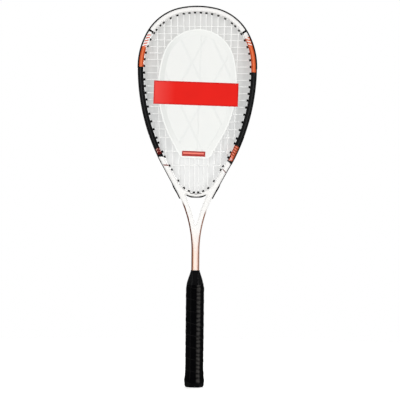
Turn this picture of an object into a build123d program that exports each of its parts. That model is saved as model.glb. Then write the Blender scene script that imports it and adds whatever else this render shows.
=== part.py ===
from build123d import *
import math
import os

# Squash racket with its display card. Millimetres, +Z up the racket's axis from butt to head,
# X across the head, -Y the front. The origin is the centre of the butt cap's end face.
# Plan drawings lie in the XZ plane, so their first coordinate is X and their second is Z.

# Overall
racket_length = 685.0
beam_depth = 18.5
tube_wall = 1.3
edge_chamfer = 3.2

# Frame tube: tangent arcs of its outer edge, from the crown down the right side
crown_r = 148.0
crown_turn = 12.0
shoulder_r = 88.0
shoulder_turn = 48.0
cheek_r = 125.5
flank_r = 368.0
flank_turn = 28.7
neck_r = 224.0
shaft_half_width = 7.2
shaft_bottom_z = 12.0
hoop_width = 8.8
leg_width = 10.5
crotch_r = 2.2

# Throat bridge
bridge_r = 37.0
bridge_thickness = 9.4
bridge_tip_drop = 5.0

# Groove round the tube and the plastic strips that sit in it
groove_depth = 1.7
groove_half_width = 4.5
seat_clearance = 0.05
bumper_proud = 2.0
side_strip_proud = 1.6
strip_proud = 1.2
bumper_height = 113.0
side_strip_height = 120.0
leg_strip_drop = 2.6
strip_gap = 1.0
bridge_strip_half_length = 17.0
channel_half_width = 2.3
channel_clearance = 0.4

# Grommet barrels, drawn square in section like the strings
barrel_side = 2.5
barrel_clearance = 0.08
bore_clearance = 0.25
barrel_proud = 1.8

# Strings: places of the mains at the head and at the throat, and of the crosses below the crown
string_side = 1.05
string_depth = 1.2
weave_lift = 1.5
mouth_gap = 1.0
loop_bow = 1.4
loop_step = 13.0
main_top_x = [5.2, 15.1, 25.2, 36.4, 48.2, 60.5, 73.0]
main_bottom_x = [3.8, 12.6, 21.7, 32.1, 42.6, 55.5, 67.0]
cross_drop = [37.0, 50.5, 62.0, 74.0, 85.5, 97.0, 109.0, 121.0, 133.0, 145.0]
cross_drop += [157.0, 169.0, 181.5, 194.5, 208.0, 222.0, 237.0, 262.0, 287.0]
bridge_mains = 2
knot_size = 2.7
knot_length = 3.4
knot_drop = 3.0

# Handle: octagonal core sizes, width across X and depth across Y
core_width = 28.0
core_depth = 23.5
core_corner = 0.3
cone_height = 21.0
bare_shaft = 33.9
cone_top_width = 17.2
cone_top_depth = 20.4
spigot_wall = 1.6
spigot_gap = 0.5
handle_clearance = 0.05

# Butt cap
cap_width = 35.0
cap_depth = 30.5
cap_floor = 4.0
cap_flange_height = 8.0
cap_sleeve_height = 26.0
cap_flare = 3.2
cap_edge = 2.6
badge_width = 19.0
badge_depth = 16.5
badge_recess = 0.5

# Staples that fix the cap to the core
staple_wire = 0.8
staple_span = 9.0
staple_leg = 5.0
staple_drop = 10.0

# Grip wrap, finishing tape and rubber collar
wrap_thickness = 1.85
wrap_on_cone = 11.0
tape_on_wrap = 6.0
tape_on_cone = 3.0
tape_thickness = 0.45
collar_on_tape = 1.5
collar_cone_height = 12.5
collar_sleeve_height = 6.0
collar_wall = 0.8
collar_shoulder_wall = 1.9

# Display card
card_gap = 0.3
card_thickness = 0.8
card_top_drop = 42.0
card_height = 232.0
card_crown_r = 66.0
card_crown_turn = 75.0
card_flank_r = 200.0
card_flank_turn = 45.0
card_corner_r = 12.0
card_tilt = -1.5
banner_width = 152.0
banner_height = 42.0
banner_drop = 158.0
banner_x = -2.0
banner_thickness = 0.5

# How far a cut runs past what it cuts
overcut = 1.0

# Worked out from the sizes above
side_heading = 90.0
bumper_end_z = racket_length - bumper_height
side_strip_end_z = bumper_end_z - side_strip_height
cross_z = [racket_length - drop for drop in cross_drop]
cap_flange_z = cap_flange_height
cap_top_z = cap_flange_z + cap_sleeve_height
core_bottom_z = cap_floor + spigot_gap
staple_z = cap_top_z - staple_drop
card_top_z = racket_length - card_top_drop
card_bottom_z = card_top_z - card_height
banner_z = racket_length - banner_drop
tube_top_z = racket_length - bumper_proud
front_face = Plane.XZ
string_bed_half = weave_lift + string_side / 2
string_inset = string_depth - strip_proud - string_side / 2
channel_floor = string_inset + string_side / 2 + channel_clearance
bore_side = string_side + 2 * bore_clearance
hole_side = barrel_side + 2 * barrel_clearance
leg_heading = side_heading + flank_turn


def outward(heading):
    """Unit normal in plan, where heading 0 is up and 90 is to the right."""
    angle = math.radians(heading)
    return Vector(math.sin(angle), math.cos(angle))


def head_arcs():
    """Start heading, end heading, centre and radius of each arc round the head's right side."""
    arcs = []
    centre = Vector(0, tube_top_z - crown_r)
    start = 0.0
    radius = crown_r
    ends = [crown_turn, crown_turn + shoulder_turn, side_heading, leg_heading]
    for end, next_radius in zip(ends, [shoulder_r, cheek_r, flank_r, flank_r]):
        arcs.append((start, end, centre, radius))
        centre = centre + outward(end) * (radius - next_radius)
        start, radius = end, next_radius
    return arcs


def leg_start():
    start, end, centre, radius = head_arcs()[-1]
    return centre + outward(end) * radius


leg_normal = outward(leg_heading)
leg_down = Vector(leg_normal.Y, -leg_normal.X)
neck_span = neck_r * (1 - leg_normal.X)
leg_length = (leg_start().X - shaft_half_width - neck_span) / -leg_down.X
neck_foot_z = (leg_start() + leg_down * leg_length).Y + leg_normal.Y * neck_r
bridge_centre_z = (bridge_r + leg_width - leg_start().dot(leg_normal)) / -leg_normal.Y
leg_strip_end_z = bridge_centre_z - bridge_r - bridge_thickness - leg_strip_drop

# The handle ends below the neck, and each of its layers is placed from there down
collar_top_z = neck_foot_z - bare_shaft
collar_shoulder_z = collar_top_z - collar_sleeve_height
collar_bottom_z = collar_shoulder_z - collar_cone_height
tape_top_z = collar_bottom_z + collar_on_tape
wrap_top_z = tape_top_z - tape_on_cone
tape_bottom_z = wrap_top_z - tape_on_wrap
cone_bottom_z = wrap_top_z - wrap_on_cone
cone_top_z = cone_bottom_z + cone_height


def beam_width(station):
    """Width of the tube in plan, which grows down the leg."""
    along = min(max(station - leg_heading, 0.0) / leg_length, 1.0)
    return hoop_width + (leg_width - hoop_width) * along


def edge_point(station, inset):
    """Point at an inset from the tube's outer edge, and the outward normal there.

    A station is the heading in degrees round the head, and then adds millimetres down the leg.
    """
    if station > leg_heading:
        return leg_start() + leg_down * (station - leg_heading) - leg_normal * inset, leg_normal
    for start, end, centre, radius in head_arcs():
        if station <= end:
            normal = outward(station)
            return centre + normal * (radius - inset), normal


def mouth_point(station):
    """Where a string leaves its barrel for the string bed."""
    return edge_point(station, beam_width(station) + barrel_proud + mouth_gap)[0]


def station_where(place, low, high):
    """Station between low and high where the mouth point passes a place, and place(point) its zero."""
    rising = place(mouth_point(high)) > 0
    for _ in range(50):
        middle = (low + high) / 2
        if (place(mouth_point(middle)) > 0) == rising:
            high = middle
        else:
            low = middle
    return low


# Plan outlines

def half_outline(inset, leg_inset):
    """Right half of the tube's edge at an inset, as tangent arcs from the crown to the shaft's end."""
    start = Vector(0, tube_top_z - inset)
    crown = JernArc(start, (1, 0), crown_r - inset, -crown_turn)
    shoulder = JernArc(crown @ 1, crown % 1, shoulder_r - inset, -shoulder_turn)
    cheek_turn = side_heading - crown_turn - shoulder_turn
    cheek = JernArc(shoulder @ 1, shoulder % 1, cheek_r - inset, -cheek_turn)
    flank = JernArc(cheek @ 1, cheek % 1, flank_r - inset, -flank_turn)
    leg_end, _ = edge_point(leg_heading + leg_length, leg_inset)
    leg = Line(flank @ 1, leg_end)
    neck = JernArc(leg_end, leg_down, neck_r + leg_inset, flank_turn)
    return [crown, shoulder, cheek, flank, leg, neck]


def mirrored_loop(edges, foot_z):
    """Closed face from a right half outline, its mirror image and a straight foot."""
    foot = (edges[-1] @ 1).X
    edges = edges + [Line(edges[-1] @ 1, (foot, foot_z)), Line((foot, foot_z), (0, foot_z))]
    half = make_face(Wire(edges + [Line((0, foot_z), edges[0] @ 0)]))
    return half + mirror(half, Plane.YZ)


def tube_plan():
    return mirrored_loop(half_outline(0, 0), shaft_bottom_z)


def opening_plan(inset):
    """Head and throat opening inside the hairpin, with a rounded crotch; inset shrinks the tube."""
    edges = half_outline(hoop_width - inset, leg_width - inset)
    neck_centre_z = (edges[-1] @ 1).Y
    reach = neck_r + leg_width - inset
    crotch_z = neck_centre_z + math.sqrt(reach**2 - (neck_r + shaft_half_width)**2)
    keep_right = Rectangle(racket_length, racket_length, align=(Align.MIN, Align.CENTER))
    keep_right = Pos(0, racket_length / 2 + crotch_z) * keep_right
    foot = (edges[-1] @ 1).X
    closed = edges + [Line(edges[-1] @ 1, (foot, 0)), Line((foot, 0), (-racket_length, 0))]
    closed += [Line((-racket_length, 0), (-racket_length, tube_top_z))]
    closed += [Line((-racket_length, tube_top_z), edges[0] @ 0)]
    right = make_face(Wire(closed)) & keep_right
    whole = right + mirror(right, Plane.YZ)
    crotch = whole.vertices().sort_by(Axis.Y)[0]
    return fillet(crotch, crotch_r + inset)


def slab(plan, half_thickness):
    """Plan drawing raised to a solid, centred on the string plane."""
    return extrude(front_face * plan, half_thickness, both=True)


def band(outer_inset, inner_inset, low_z, high_z, side=0):
    """Strip of plan that follows the tube's edge between two heights, on one side or on both."""
    ring = mirrored_loop(half_outline(outer_inset, outer_inset), shaft_bottom_z)
    ring -= mirrored_loop(half_outline(inner_inset, inner_inset), 0)
    aligned = {0: Align.CENTER, 1: Align.MIN, -1: Align.MAX}[side]
    window = Rectangle(racket_length, high_z - low_z, align=(aligned, Align.MIN))
    return ring & (Pos(0, low_z) * window)


# Barrels

def prism(section, point, normal, inner_inset, outer_inset):
    """Section raised along a barrel's axis; insets are measured inwards from the point."""
    axis = Vector(normal.X, 0, normal.Y)
    foot = Vector(point.X, 0, point.Y) - axis * inner_inset
    plane = Plane(origin=foot, x_dir=(0, 1, 0), z_dir=axis)
    return extrude(plane * section, inner_inset - outer_inset)


barrel_section = Rectangle(barrel_side, barrel_side)
hole_section = Rectangle(hole_side, hole_side)
bore_section = Rectangle(bore_side, bore_side)


def main_stations():
    """Stations of the mains at the head, and of those that leave through the legs."""
    top = [station_where(lambda p, x=x: p.X - x, 0, side_heading) for x in main_top_x]
    leg_end = leg_heading + leg_length
    foot_x = main_bottom_x[bridge_mains + 1:]
    legs = [station_where(lambda p, x=x: p.X - x, side_heading, leg_end) for x in foot_x]
    return top, legs


def shared_main():
    """The main that passes through both bridge and leg: its mouth, station and reach from the edge."""
    radius = bridge_r - barrel_proud - mouth_gap
    x = main_bottom_x[bridge_mains]
    mouth = Vector(x, bridge_centre_z - math.sqrt(radius**2 - x**2))
    station = leg_heading + (mouth - leg_start()).dot(leg_down)
    reach = -(mouth - leg_start()).dot(leg_normal)
    return mouth, station, reach


def bridge_main(x):
    """Mouth point and outward normal of a main that leaves through the bridge alone."""
    radius = bridge_r - barrel_proud - mouth_gap
    normal = Vector(x, -math.sqrt(radius**2 - x**2)).normalized()
    return Vector(0, bridge_centre_z) + normal * radius, normal


def cross_stations():
    return [station_where(lambda p, z=z: z - p.Y, 0, leg_heading + leg_length) for z in cross_z]


top_stations, leg_stations = main_stations()
shared_mouth, shared_station, shared_reach = shared_main()
side_stations = cross_stations()
tube_stations = top_stations + side_stations + leg_stations + [shared_station]


def barrel_reach(station):
    """Depth of a barrel's inner end from the tube's edge."""
    if station == shared_station:
        return shared_reach - mouth_gap
    return beam_width(station) + barrel_proud


def both_sides(solid):
    return [solid, mirror(solid, Plane.YZ)]


def tube_barrels(section, stations, side, outer_inset, extra=0.0):
    """Prisms for the barrels of the given stations, on one side or on both."""
    prisms = []
    for station in stations:
        point, normal = edge_point(station, 0)
        reach = barrel_reach(station) + extra
        right, left = both_sides(prism(section, point, normal, reach, outer_inset))
        prisms += {1: [right], -1: [left], 0: [right, left]}[side]
    return prisms


def bridge_barrels(section, outer_inset, extra=0.0):
    """Prisms for the bridge's own barrels; the inset is from its lower face, inwards."""
    prisms = []
    depth = barrel_proud + mouth_gap + bridge_thickness
    for x in main_bottom_x[:bridge_mains]:
        mouth, normal = bridge_main(x)
        prisms += both_sides(prism(section, mouth, normal, extra - mouth_gap, outer_inset - depth))
    return prisms


# Frame

def face_edges(solid, half_thickness):
    """Edges of a slab's front and back outlines."""
    return solid.edges().filter_by(lambda e: abs(abs(e.center().Y) - half_thickness) < 1e-3)


def frame_tube():
    """Hollow hairpin tube with a string groove round its outside and a hole for each barrel."""
    tube = slab(tube_plan() - opening_plan(0), beam_depth / 2)
    long_edges = face_edges(tube, beam_depth / 2)
    long_edges = long_edges.filter_by(lambda e: e.center().Z > shaft_bottom_z + edge_chamfer)
    tube = chamfer(long_edges, edge_chamfer)
    inset = groove_depth + tube_wall
    cavity = mirrored_loop(half_outline(inset, inset), 0) - opening_plan(-tube_wall)
    cavity = slab(cavity, beam_depth / 2 - tube_wall)
    rims = [face.inner_wires()[0].edges() for face in cavity.faces().group_by(Axis.Y)[0]]
    rims += [face.inner_wires()[0].edges() for face in cavity.faces().group_by(Axis.Y)[-1]]
    cavity = chamfer([edge for rim in rims for edge in rim], edge_chamfer - tube_wall)
    groove = slab(band(-overcut, groove_depth, leg_strip_end_z, racket_length), groove_half_width)
    holes = tube_barrels(hole_section, tube_stations, 0, -overcut)
    return tube - cavity - groove - holes


def throat_bridge():
    """Yoke between the legs that closes the head, with a groove for its own grommet strip."""
    lower_r = bridge_r + bridge_thickness
    tip_z = bridge_centre_z + bridge_r * leg_normal.Y - bridge_tip_drop
    section = chamfer(Rectangle(bridge_thickness, beam_depth).vertices(), edge_chamfer)
    section = Pos(bridge_r + bridge_thickness / 2, 0, bridge_centre_z) * section
    ring = revolve(section, Axis((0, 0, bridge_centre_z), (0, 1, 0)))
    window = Pos(0, tip_z) * Rectangle(racket_length, racket_length, align=(Align.CENTER, Align.MAX))
    body = ring & slab(window & opening_plan(0), beam_depth / 2)
    groove = Circle(lower_r + groove_depth) - Circle(lower_r - groove_depth)
    reach = bridge_strip_half_length + strip_gap
    groove &= Pos(0, -lower_r) * Rectangle(2 * reach, lower_r)
    body -= slab(Pos(0, bridge_centre_z) * groove, groove_half_width)
    body -= bridge_barrels(hole_section, 0, mouth_gap)
    point, normal = edge_point(shared_station, 0)
    body -= both_sides(prism(hole_section, point, normal, shared_reach, 0))
    return body


# Grommet strips

def strip(side, low_z, high_z, proud, stations):
    """Plastic strip in the tube's groove, with its barrels, bores and string channel."""
    seat = groove_depth - seat_clearance
    body = slab(band(-proud, seat, low_z, high_z, side), groove_half_width - seat_clearance)
    body += tube_barrels(barrel_section, stations, side, (channel_floor + seat) / 2)
    channel_plan = band(-proud - overcut, channel_floor, low_z - overcut, high_z + overcut, side)
    channel = slab(channel_plan, channel_half_width)
    return body - channel - tube_barrels(bore_section, stations, side, -proud, mouth_gap)


def outer_height(station):
    return edge_point(station, 0)[0].Y


def stations_between(low_z, high_z):
    return [s for s in tube_stations if low_z < outer_height(s) < high_z]


def bridge_grommet_strip():
    """Short strip under the bridge with the four middle barrels."""
    lower_r = bridge_r + bridge_thickness
    seat = groove_depth - seat_clearance

    def arc_band(outer_r, inner_r, half_width, half_length):
        ring = Circle(outer_r) - Circle(inner_r)
        ring &= Pos(0, -lower_r) * Rectangle(2 * half_length, lower_r)
        return slab(Pos(0, bridge_centre_z) * ring, half_width)

    body = arc_band(lower_r + strip_proud, lower_r - seat, groove_half_width - seat_clearance,
                    bridge_strip_half_length)
    body += bridge_barrels(barrel_section, (channel_floor + seat) / 2)
    channel = arc_band(lower_r + strip_proud + overcut, lower_r - channel_floor, channel_half_width,
                       bridge_strip_half_length + overcut)
    return body - channel - bridge_barrels(bore_section, -strip_proud, mouth_gap)


# Strings

def sweep_string(points):
    """One string as a square rod along straight runs."""
    path = Polyline(*points)
    plane = Plane(origin=path @ 0, x_dir=(0, 1, 0), z_dir=path % 0)
    return sweep(plane * Rectangle(string_side, string_side), path=path, transition=Transition.RIGHT)


def in_space(point, side, y=0.0):
    return Vector(side * point.X, y, point.Y)


def tube_loop(start, end, side, bow, others):
    """Points of a string's run through the channel, from one barrel to the next.

    Where it passes over a barrel of the other string it bows aside.
    """
    crossed = [station for station in others if start < station < end]
    if not crossed:
        gap = edge_point(end, 0)[0] - edge_point(start, 0)[0]
        runs = math.ceil(gap.length / loop_step)
        crossed = [start + (end - start) * i / runs for i in range(1, runs)]
        bow = 0.0
    points = [in_space(edge_point(station, string_inset)[0], side, bow) for station in crossed]
    ends = [in_space(edge_point(station, string_inset)[0], side) for station in (start, end)]
    return [ends[0]] + points + [ends[1]]


def bridge_loop(side):
    """Points of the run under the bridge between the two mains on one side."""
    radius = bridge_r + bridge_thickness - string_inset
    normals = [bridge_main(x)[1] for x in main_bottom_x[:bridge_mains]]
    normals.insert(1, (normals[0] + normals[1]).normalized())
    return [in_space(Vector(0, bridge_centre_z) + normal * radius, side) for normal in normals]


def bottom_mouth(index):
    if index < bridge_mains:
        return bridge_main(main_bottom_x[index])[0]
    if index == bridge_mains:
        return shared_mouth
    return mouth_point(leg_stations[index - bridge_mains - 1])


def bottom_station(index):
    return shared_station if index == bridge_mains else leg_stations[index - bridge_mains - 1]


def cut_end(station, side):
    """Where a string stops, flush with the channel's floor."""
    return in_space(edge_point(station, channel_floor)[0], side)


def main_side(side):
    """Points of one half of the mains' string, from the crown out to the last main's end."""
    points = []
    for index, station in enumerate(top_stations):
        top = in_space(mouth_point(station), side)
        bottom = in_space(bottom_mouth(index), side)
        if index % 2:
            points += [bottom, top]
            points += tube_loop(station, top_stations[index + 1], side, -loop_bow, side_stations)
            continue
        points += [top, bottom]
        if index + 1 == len(top_stations):
            points.append(cut_end(bottom_station(index), side))
        elif index < bridge_mains:
            points += bridge_loop(side)
        else:
            legs = sorted([bottom_station(index), bottom_station(index + 1)])
            run = tube_loop(*legs, side, -loop_bow, side_stations)
            points += run if bottom_station(index) == legs[0] else run[::-1]
    return points


def main_string():
    """The mains: one string, laced up and down from the crown's centre loop to both ends."""
    right = main_side(1)
    left = main_side(-1)
    corner, _ = edge_point(top_stations[0], string_inset)
    return sweep_string(left[::-1] + [in_space(corner, -1), in_space(corner, 1)] + right)


def main_x_at(index, side, z):
    top = mouth_point(top_stations[index])
    bottom = bottom_mouth(index)
    share = (z - bottom.Y) / (top.Y - bottom.Y)
    if not 0 < share < 1:
        return None
    return side * (bottom.X + (top.X - bottom.X) * share)


def cross_points(row, z):
    """A cross from left to right: over one main, under the next."""
    mains = [main_x_at(i, side, z) for side in (-1, 1) for i in range(len(main_top_x))]
    mains = sorted(x for x in mains if x is not None)
    first = (len(main_top_x) * 2 - len(mains)) // 2
    mouth = mouth_point(side_stations[row])
    points = [in_space(mouth, -1)]
    for i, x in enumerate(mains):
        lift = weave_lift if (i + first + row) % 2 else -weave_lift
        points.append(Vector(x, lift, z))
    return points + [in_space(mouth, 1)]


def cross_string():
    """The crosses: one string, laced from side to side from the top down."""
    mains = top_stations + leg_stations
    points = [cut_end(side_stations[0], -1)]
    for row, z in enumerate(cross_z):
        side = -1 if row % 2 else 1
        points += cross_points(row, z)[::side]
        if row + 1 < len(cross_z):
            points += tube_loop(side_stations[row], side_stations[row + 1], side, loop_bow, mains)
    return sweep_string(points + [cut_end(side_stations[-1], side)])


def knot(index, side, z):
    """A tie-off knot round a main."""
    ends = [z - knot_length / 2, z + knot_length / 2]
    low, high = [Vector(main_x_at(index, side, end), 0, end) for end in ends]
    plane = Plane(origin=low, x_dir=(0, 1, 0), z_dir=high - low)
    outline = Rectangle(knot_size, knot_size) - bore_section
    return extrude(plane * outline, knot_length)


def string_knots():
    """Four knots, one for each end of the two strings."""
    last = len(main_top_x) - 2
    near_top = mouth_point(top_stations[last - 1]).Y - knot_drop
    near_foot = bottom_mouth(last).Y + knot_drop
    near_end = bottom_mouth(last - 1).Y + knot_drop
    return [knot(last - 1, -1, near_top), knot(last, -1, near_foot), knot(last, 1, near_foot),
            knot(last - 1, 1, near_end)]


# Handle

def corners(width, depth, z, grow=0.0, chamfered=None):
    """Corners of a handle section: a rectangle with cut corners, grown by a layer's thickness.

    The corners are cut in proportion to the depth, or like the shaft's where its chamfer is given.
    """
    x = width / 2 + grow
    y = depth / 2 + grow
    cut = 2 * core_corner * y
    if chamfered is not None:
        cut = chamfered + grow * (2 - math.sqrt(2))
    quarter = [(x, y - cut), (x - cut, y)]
    half = quarter + [(-a, b) for a, b in quarter[::-1]]
    return [Vector(a, b, z) for a, b in half + [(-a, -b) for a, b in half]]


def octagon(width, depth, z, grow=0.0, chamfered=None):
    return make_face(Polyline(*corners(width, depth, z, grow, chamfered), close=True))


def stack(rings):
    """Solid with flat sides through a pile of handle sections, each given by its corners."""
    sides = []
    for low, high in zip(rings, rings[1:]):
        for i in range(len(low)):
            outline = Polyline(low[i - 1], low[i], high[i], high[i - 1], close=True)
            sides.append(make_face(outline))
    ends = [make_face(Polyline(*ring, close=True)) for ring in (rings[0], rings[-1])]
    return Solid(Shell(sides + ends))


def core_size(z):
    """Width and depth of the handle's core under its wrap at a height."""
    if z <= cap_top_z:
        share = (cap_top_z - z) / (cap_top_z - cap_flange_z)
        return core_width + cap_flare * share, core_depth + cap_flare * share
    share = max(z - cone_bottom_z, 0) / (cone_top_z - cone_bottom_z)
    width = core_width + (cone_top_width - core_width) * share
    return width, core_depth + (cone_top_depth - core_depth) * share


def layer(heights, grow):
    return stack([corners(*core_size(z), z, grow) for z in heights])


def shaft_space(low_z, high_z):
    """The shaft with its running clearance, to cut away."""
    section = octagon(2 * shaft_half_width, beam_depth, low_z, handle_clearance, edge_chamfer)
    return extrude(section, high_z - low_z)


def staple_slots(grow):
    """Both staples, or with growth the slots that they are driven into."""
    solids = []
    size = staple_wire + 2 * grow
    face_x = core_size(staple_z)[0] / 2
    for side in (-1, 1):
        crown_x = side * (face_x - staple_wire / 2)
        crown = Pos(crown_x, 0, staple_z) * Box(size, staple_span + 2 * grow, size)
        for end in (-1, 1):
            leg = Pos(side * (face_x - staple_leg / 2), end * (staple_span - staple_wire) / 2, staple_z)
            crown += leg * Box(staple_leg + 2 * grow, size, size)
        solids.append(crown)
    return solids


def handle_core():
    """Both moulded halves of the handle's core, closed round the shaft."""
    body = layer([cap_top_z, cone_bottom_z, cone_top_z], 0)
    spigot_height = cap_top_z - core_bottom_z
    spigot = octagon(core_width, core_depth, core_bottom_z, -spigot_wall)
    body += extrude(spigot, spigot_height)
    body -= shaft_space(shaft_bottom_z - handle_clearance, cone_top_z)
    return body - staple_slots(handle_clearance)


def handle_half(front):
    aligned = (Align.CENTER, Align.MAX if front else Align.MIN, Align.MIN)
    return handle_core() & Box(core_width, core_depth, cone_top_z, align=aligned)


def butt_cap():
    """Flared cap over the core's spigot, with a shallow blank badge seat in its end face."""
    flange = extrude(octagon(cap_width, cap_depth, 0), cap_flange_z)
    flange = chamfer(flange.faces().sort_by(Axis.Z)[0].edges(), cap_edge)
    sleeve = layer([cap_flange_z, cap_top_z], 0)
    socket = octagon(core_width, core_depth, cap_floor, handle_clearance - spigot_wall)
    body = flange + sleeve - extrude(socket, cap_top_z)
    body -= extrude(octagon(badge_width, badge_depth, 0), badge_recess)
    return body - staple_slots(handle_clearance)


def grip_wrap():
    """Cushioned wrap from the cap's flange up onto the core's cone."""
    heights = [cap_flange_z, cap_top_z, cone_bottom_z, wrap_top_z]
    return layer(heights, wrap_thickness) - layer(heights, handle_clearance)


def tape_outline():
    """Outside of the finishing tape: level over the wrap, then down onto the cone."""
    over_wrap = wrap_thickness + tape_thickness
    rows = [(tape_bottom_z, over_wrap), (wrap_top_z + tape_thickness, over_wrap)]
    rows.append((tape_top_z, tape_thickness))
    return stack([corners(*core_size(z), z, grow) for z, grow in rows])


def finishing_tape():
    """Tape that closes the wrap's upper edge and runs on to the cone."""
    low_z = tape_bottom_z - overcut
    under = layer([low_z, wrap_top_z + handle_clearance], wrap_thickness + handle_clearance)
    under += layer([low_z, tape_top_z + overcut], handle_clearance)
    return tape_outline() - under


def grip_collar():
    """Rubber collar over the tape's edge, drawn in to the shaft."""
    shaft_width = 2 * shaft_half_width
    low = corners(*core_size(collar_bottom_z), collar_bottom_z, wrap_thickness + tape_thickness)
    shoulder = corners(shaft_width, beam_depth, collar_shoulder_z, collar_shoulder_wall, edge_chamfer)
    top = corners(shaft_width, beam_depth, collar_top_z, collar_wall, edge_chamfer)
    body = stack([low, shoulder, top])
    body -= layer([collar_bottom_z - overcut, cone_top_z + handle_clearance], handle_clearance)
    return body - tape_outline() - shaft_space(collar_bottom_z, collar_top_z)


# Display card

def card_front_y():
    return -(string_bed_half + card_gap)


def card_placed(plan, thickness, back_y):
    """Card piece raised towards the front from its back face, and tilted with the card."""
    centre = (0, back_y, banner_z)
    raised = extrude(Plane.XZ.offset(-back_y) * plan, thickness)
    return raised.rotate(Axis(centre, (0, -1, 0)), card_tilt)


def insert_card():
    """Drop-shaped board that lies against the front of the strings."""
    crown = JernArc((0, card_top_z), (1, 0), card_crown_r, -card_crown_turn)
    flank = JernArc(crown @ 1, crown % 1, card_flank_r, -card_flank_turn)
    drop = ((flank @ 1).Y - card_bottom_z) / -(flank % 1).Y
    side = Line(flank @ 1, flank @ 1 + (flank % 1) * drop)
    foot = Line(side @ 1, (0, card_bottom_z))
    half = make_face(Wire([crown, flank, side, foot, Line(foot @ 1, crown @ 0)]))
    whole = half + mirror(half, Plane.YZ)
    whole = fillet(whole.vertices().group_by(Axis.Y)[0], card_corner_r)
    return card_placed(whole, card_thickness, card_front_y())


def card_banner():
    """Printed strip across the board, wider than it on both sides."""
    strip_plan = Pos(banner_x, banner_z) * Rectangle(banner_width, banner_height)
    return card_placed(strip_plan, banner_thickness, card_front_y() - card_thickness)


def strips():
    """The bumper guard and the four side strips, each with the barrels of its stretch."""
    def made(side, low_z, high_z, proud):
        return strip(side, low_z, high_z, proud, stations_between(low_z, high_z))

    nodes = {"bumper_guard": made(0, bumper_end_z, racket_length, bumper_proud)}
    for name, side in (("left", -1), ("right", 1)):
        top = bumper_end_z - strip_gap
        nodes["side_grommet_strip_" + name] = made(side, side_strip_end_z, top, side_strip_proud)
        foot = leg_strip_end_z + strip_gap
        nodes["leg_grommet_strip_" + name] = made(side, foot, side_strip_end_z - strip_gap, strip_proud)
    return nodes


def build():
    nodes = {
        "frame_tube": frame_tube(),
        "throat_bridge": throat_bridge(),
        "bridge_grommet_strip": bridge_grommet_strip(),
        "main_string": main_string(),
        "cross_string": cross_string(),
        "string_knots": string_knots(),
        "handle_core_front": handle_half(True),
        "handle_core_back": handle_half(False),
        "butt_cap": butt_cap(),
        "butt_cap_staples": staple_slots(0),
        "grip_wrap": grip_wrap(),
        "finishing_tape": finishing_tape(),
        "grip_collar": grip_collar(),
        "insert_card": insert_card(),
        "card_banner": card_banner(),
    }
    nodes.update(strips())
    return nodes


os.makedirs("parts", exist_ok=True)
for name, shape in build().items():
    if isinstance(shape, list):
        shape = Compound(children=shape)
    export_step(shape, f"parts/{name}.step")
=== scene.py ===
import math
from functools import partialmethod

import bmesh
import bpy
import numpy as np
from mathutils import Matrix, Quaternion, Vector

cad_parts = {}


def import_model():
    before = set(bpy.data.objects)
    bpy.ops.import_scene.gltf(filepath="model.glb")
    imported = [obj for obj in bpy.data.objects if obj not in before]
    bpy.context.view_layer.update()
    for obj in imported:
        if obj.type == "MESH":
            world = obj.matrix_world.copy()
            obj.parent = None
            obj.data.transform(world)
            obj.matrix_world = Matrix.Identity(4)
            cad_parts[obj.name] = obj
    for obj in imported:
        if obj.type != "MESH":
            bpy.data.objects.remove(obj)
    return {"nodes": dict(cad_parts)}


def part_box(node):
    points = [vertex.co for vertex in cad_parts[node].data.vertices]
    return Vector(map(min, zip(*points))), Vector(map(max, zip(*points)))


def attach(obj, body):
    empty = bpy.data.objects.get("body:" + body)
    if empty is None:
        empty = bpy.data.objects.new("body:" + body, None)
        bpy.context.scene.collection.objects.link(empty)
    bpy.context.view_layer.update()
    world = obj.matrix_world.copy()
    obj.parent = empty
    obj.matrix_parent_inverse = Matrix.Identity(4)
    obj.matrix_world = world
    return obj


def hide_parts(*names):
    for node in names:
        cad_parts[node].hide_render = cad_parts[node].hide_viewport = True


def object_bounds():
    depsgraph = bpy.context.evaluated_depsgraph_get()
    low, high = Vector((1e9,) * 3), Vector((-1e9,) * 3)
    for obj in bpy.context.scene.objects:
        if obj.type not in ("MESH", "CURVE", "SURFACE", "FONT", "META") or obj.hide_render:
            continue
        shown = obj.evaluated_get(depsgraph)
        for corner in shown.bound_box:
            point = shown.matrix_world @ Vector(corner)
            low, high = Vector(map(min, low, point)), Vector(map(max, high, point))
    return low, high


# Squash racket with its display card. Shapes are worked out in millimetres in the row frame
# (Z up the racket's axis, X across the head, -Y the front) and written to the meshes in metres.

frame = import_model()
CAD_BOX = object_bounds()
MM = 0.001
TO_MM = 1000.0


def node_mm(name):
    low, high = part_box(name)
    return np.array(low) / MM, np.array(high) / MM


# ---------------------------------------------------------------- driving sizes, in millimetres

TUBE_LOW, TUBE_HIGH = node_mm("frame_tube")
TOP_Z = TUBE_HIGH[2]
HALF_DEPTH = TUBE_HIGH[1]
CROWN_R, CROWN_TURN = 148.0, 12.0
SHOULDER_R, SHOULDER_TURN = 88.0, 48.0
CHEEK_R = 125.5
FLANK_R, FLANK_TURN = 368.0, 28.7
NECK_R = 224.0
SHAFT_HALF = 7.2
HOOP_WIDTH, LEG_WIDTH = 8.8, 10.5
CROTCH_R = 2.2
BRIDGE_R, BRIDGE_THICKNESS = 35.5, 6.3
EDGE_ROUND, EDGE_DEPTH, EDGE_POWER = 4.2, 4.7, 2.3
GROOVE_HALF, GROOVE_DEPTH = 4.5, 1.6
FAR = 1e9                # stands for an edge that is of no account
BARREL_PROUD, MOUTH_GAP = 1.8, 1.0
BUMPER_PROUD, SIDE_PROUD = 2.0, 1.6
STRING_R = 0.62
MAIN_WAVE, CROSS_WAVE = 0.34, 0.88    # how far each string leaves the bed's plane where they cross
MAIN_TOP_X = [5.2, 15.1, 25.2, 36.4, 48.2, 60.5, 73.0]
MAIN_BOTTOM_X = [3.7, 12.2, 20.4, 30.8, 42.6, 55.5, 67.0]
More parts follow.
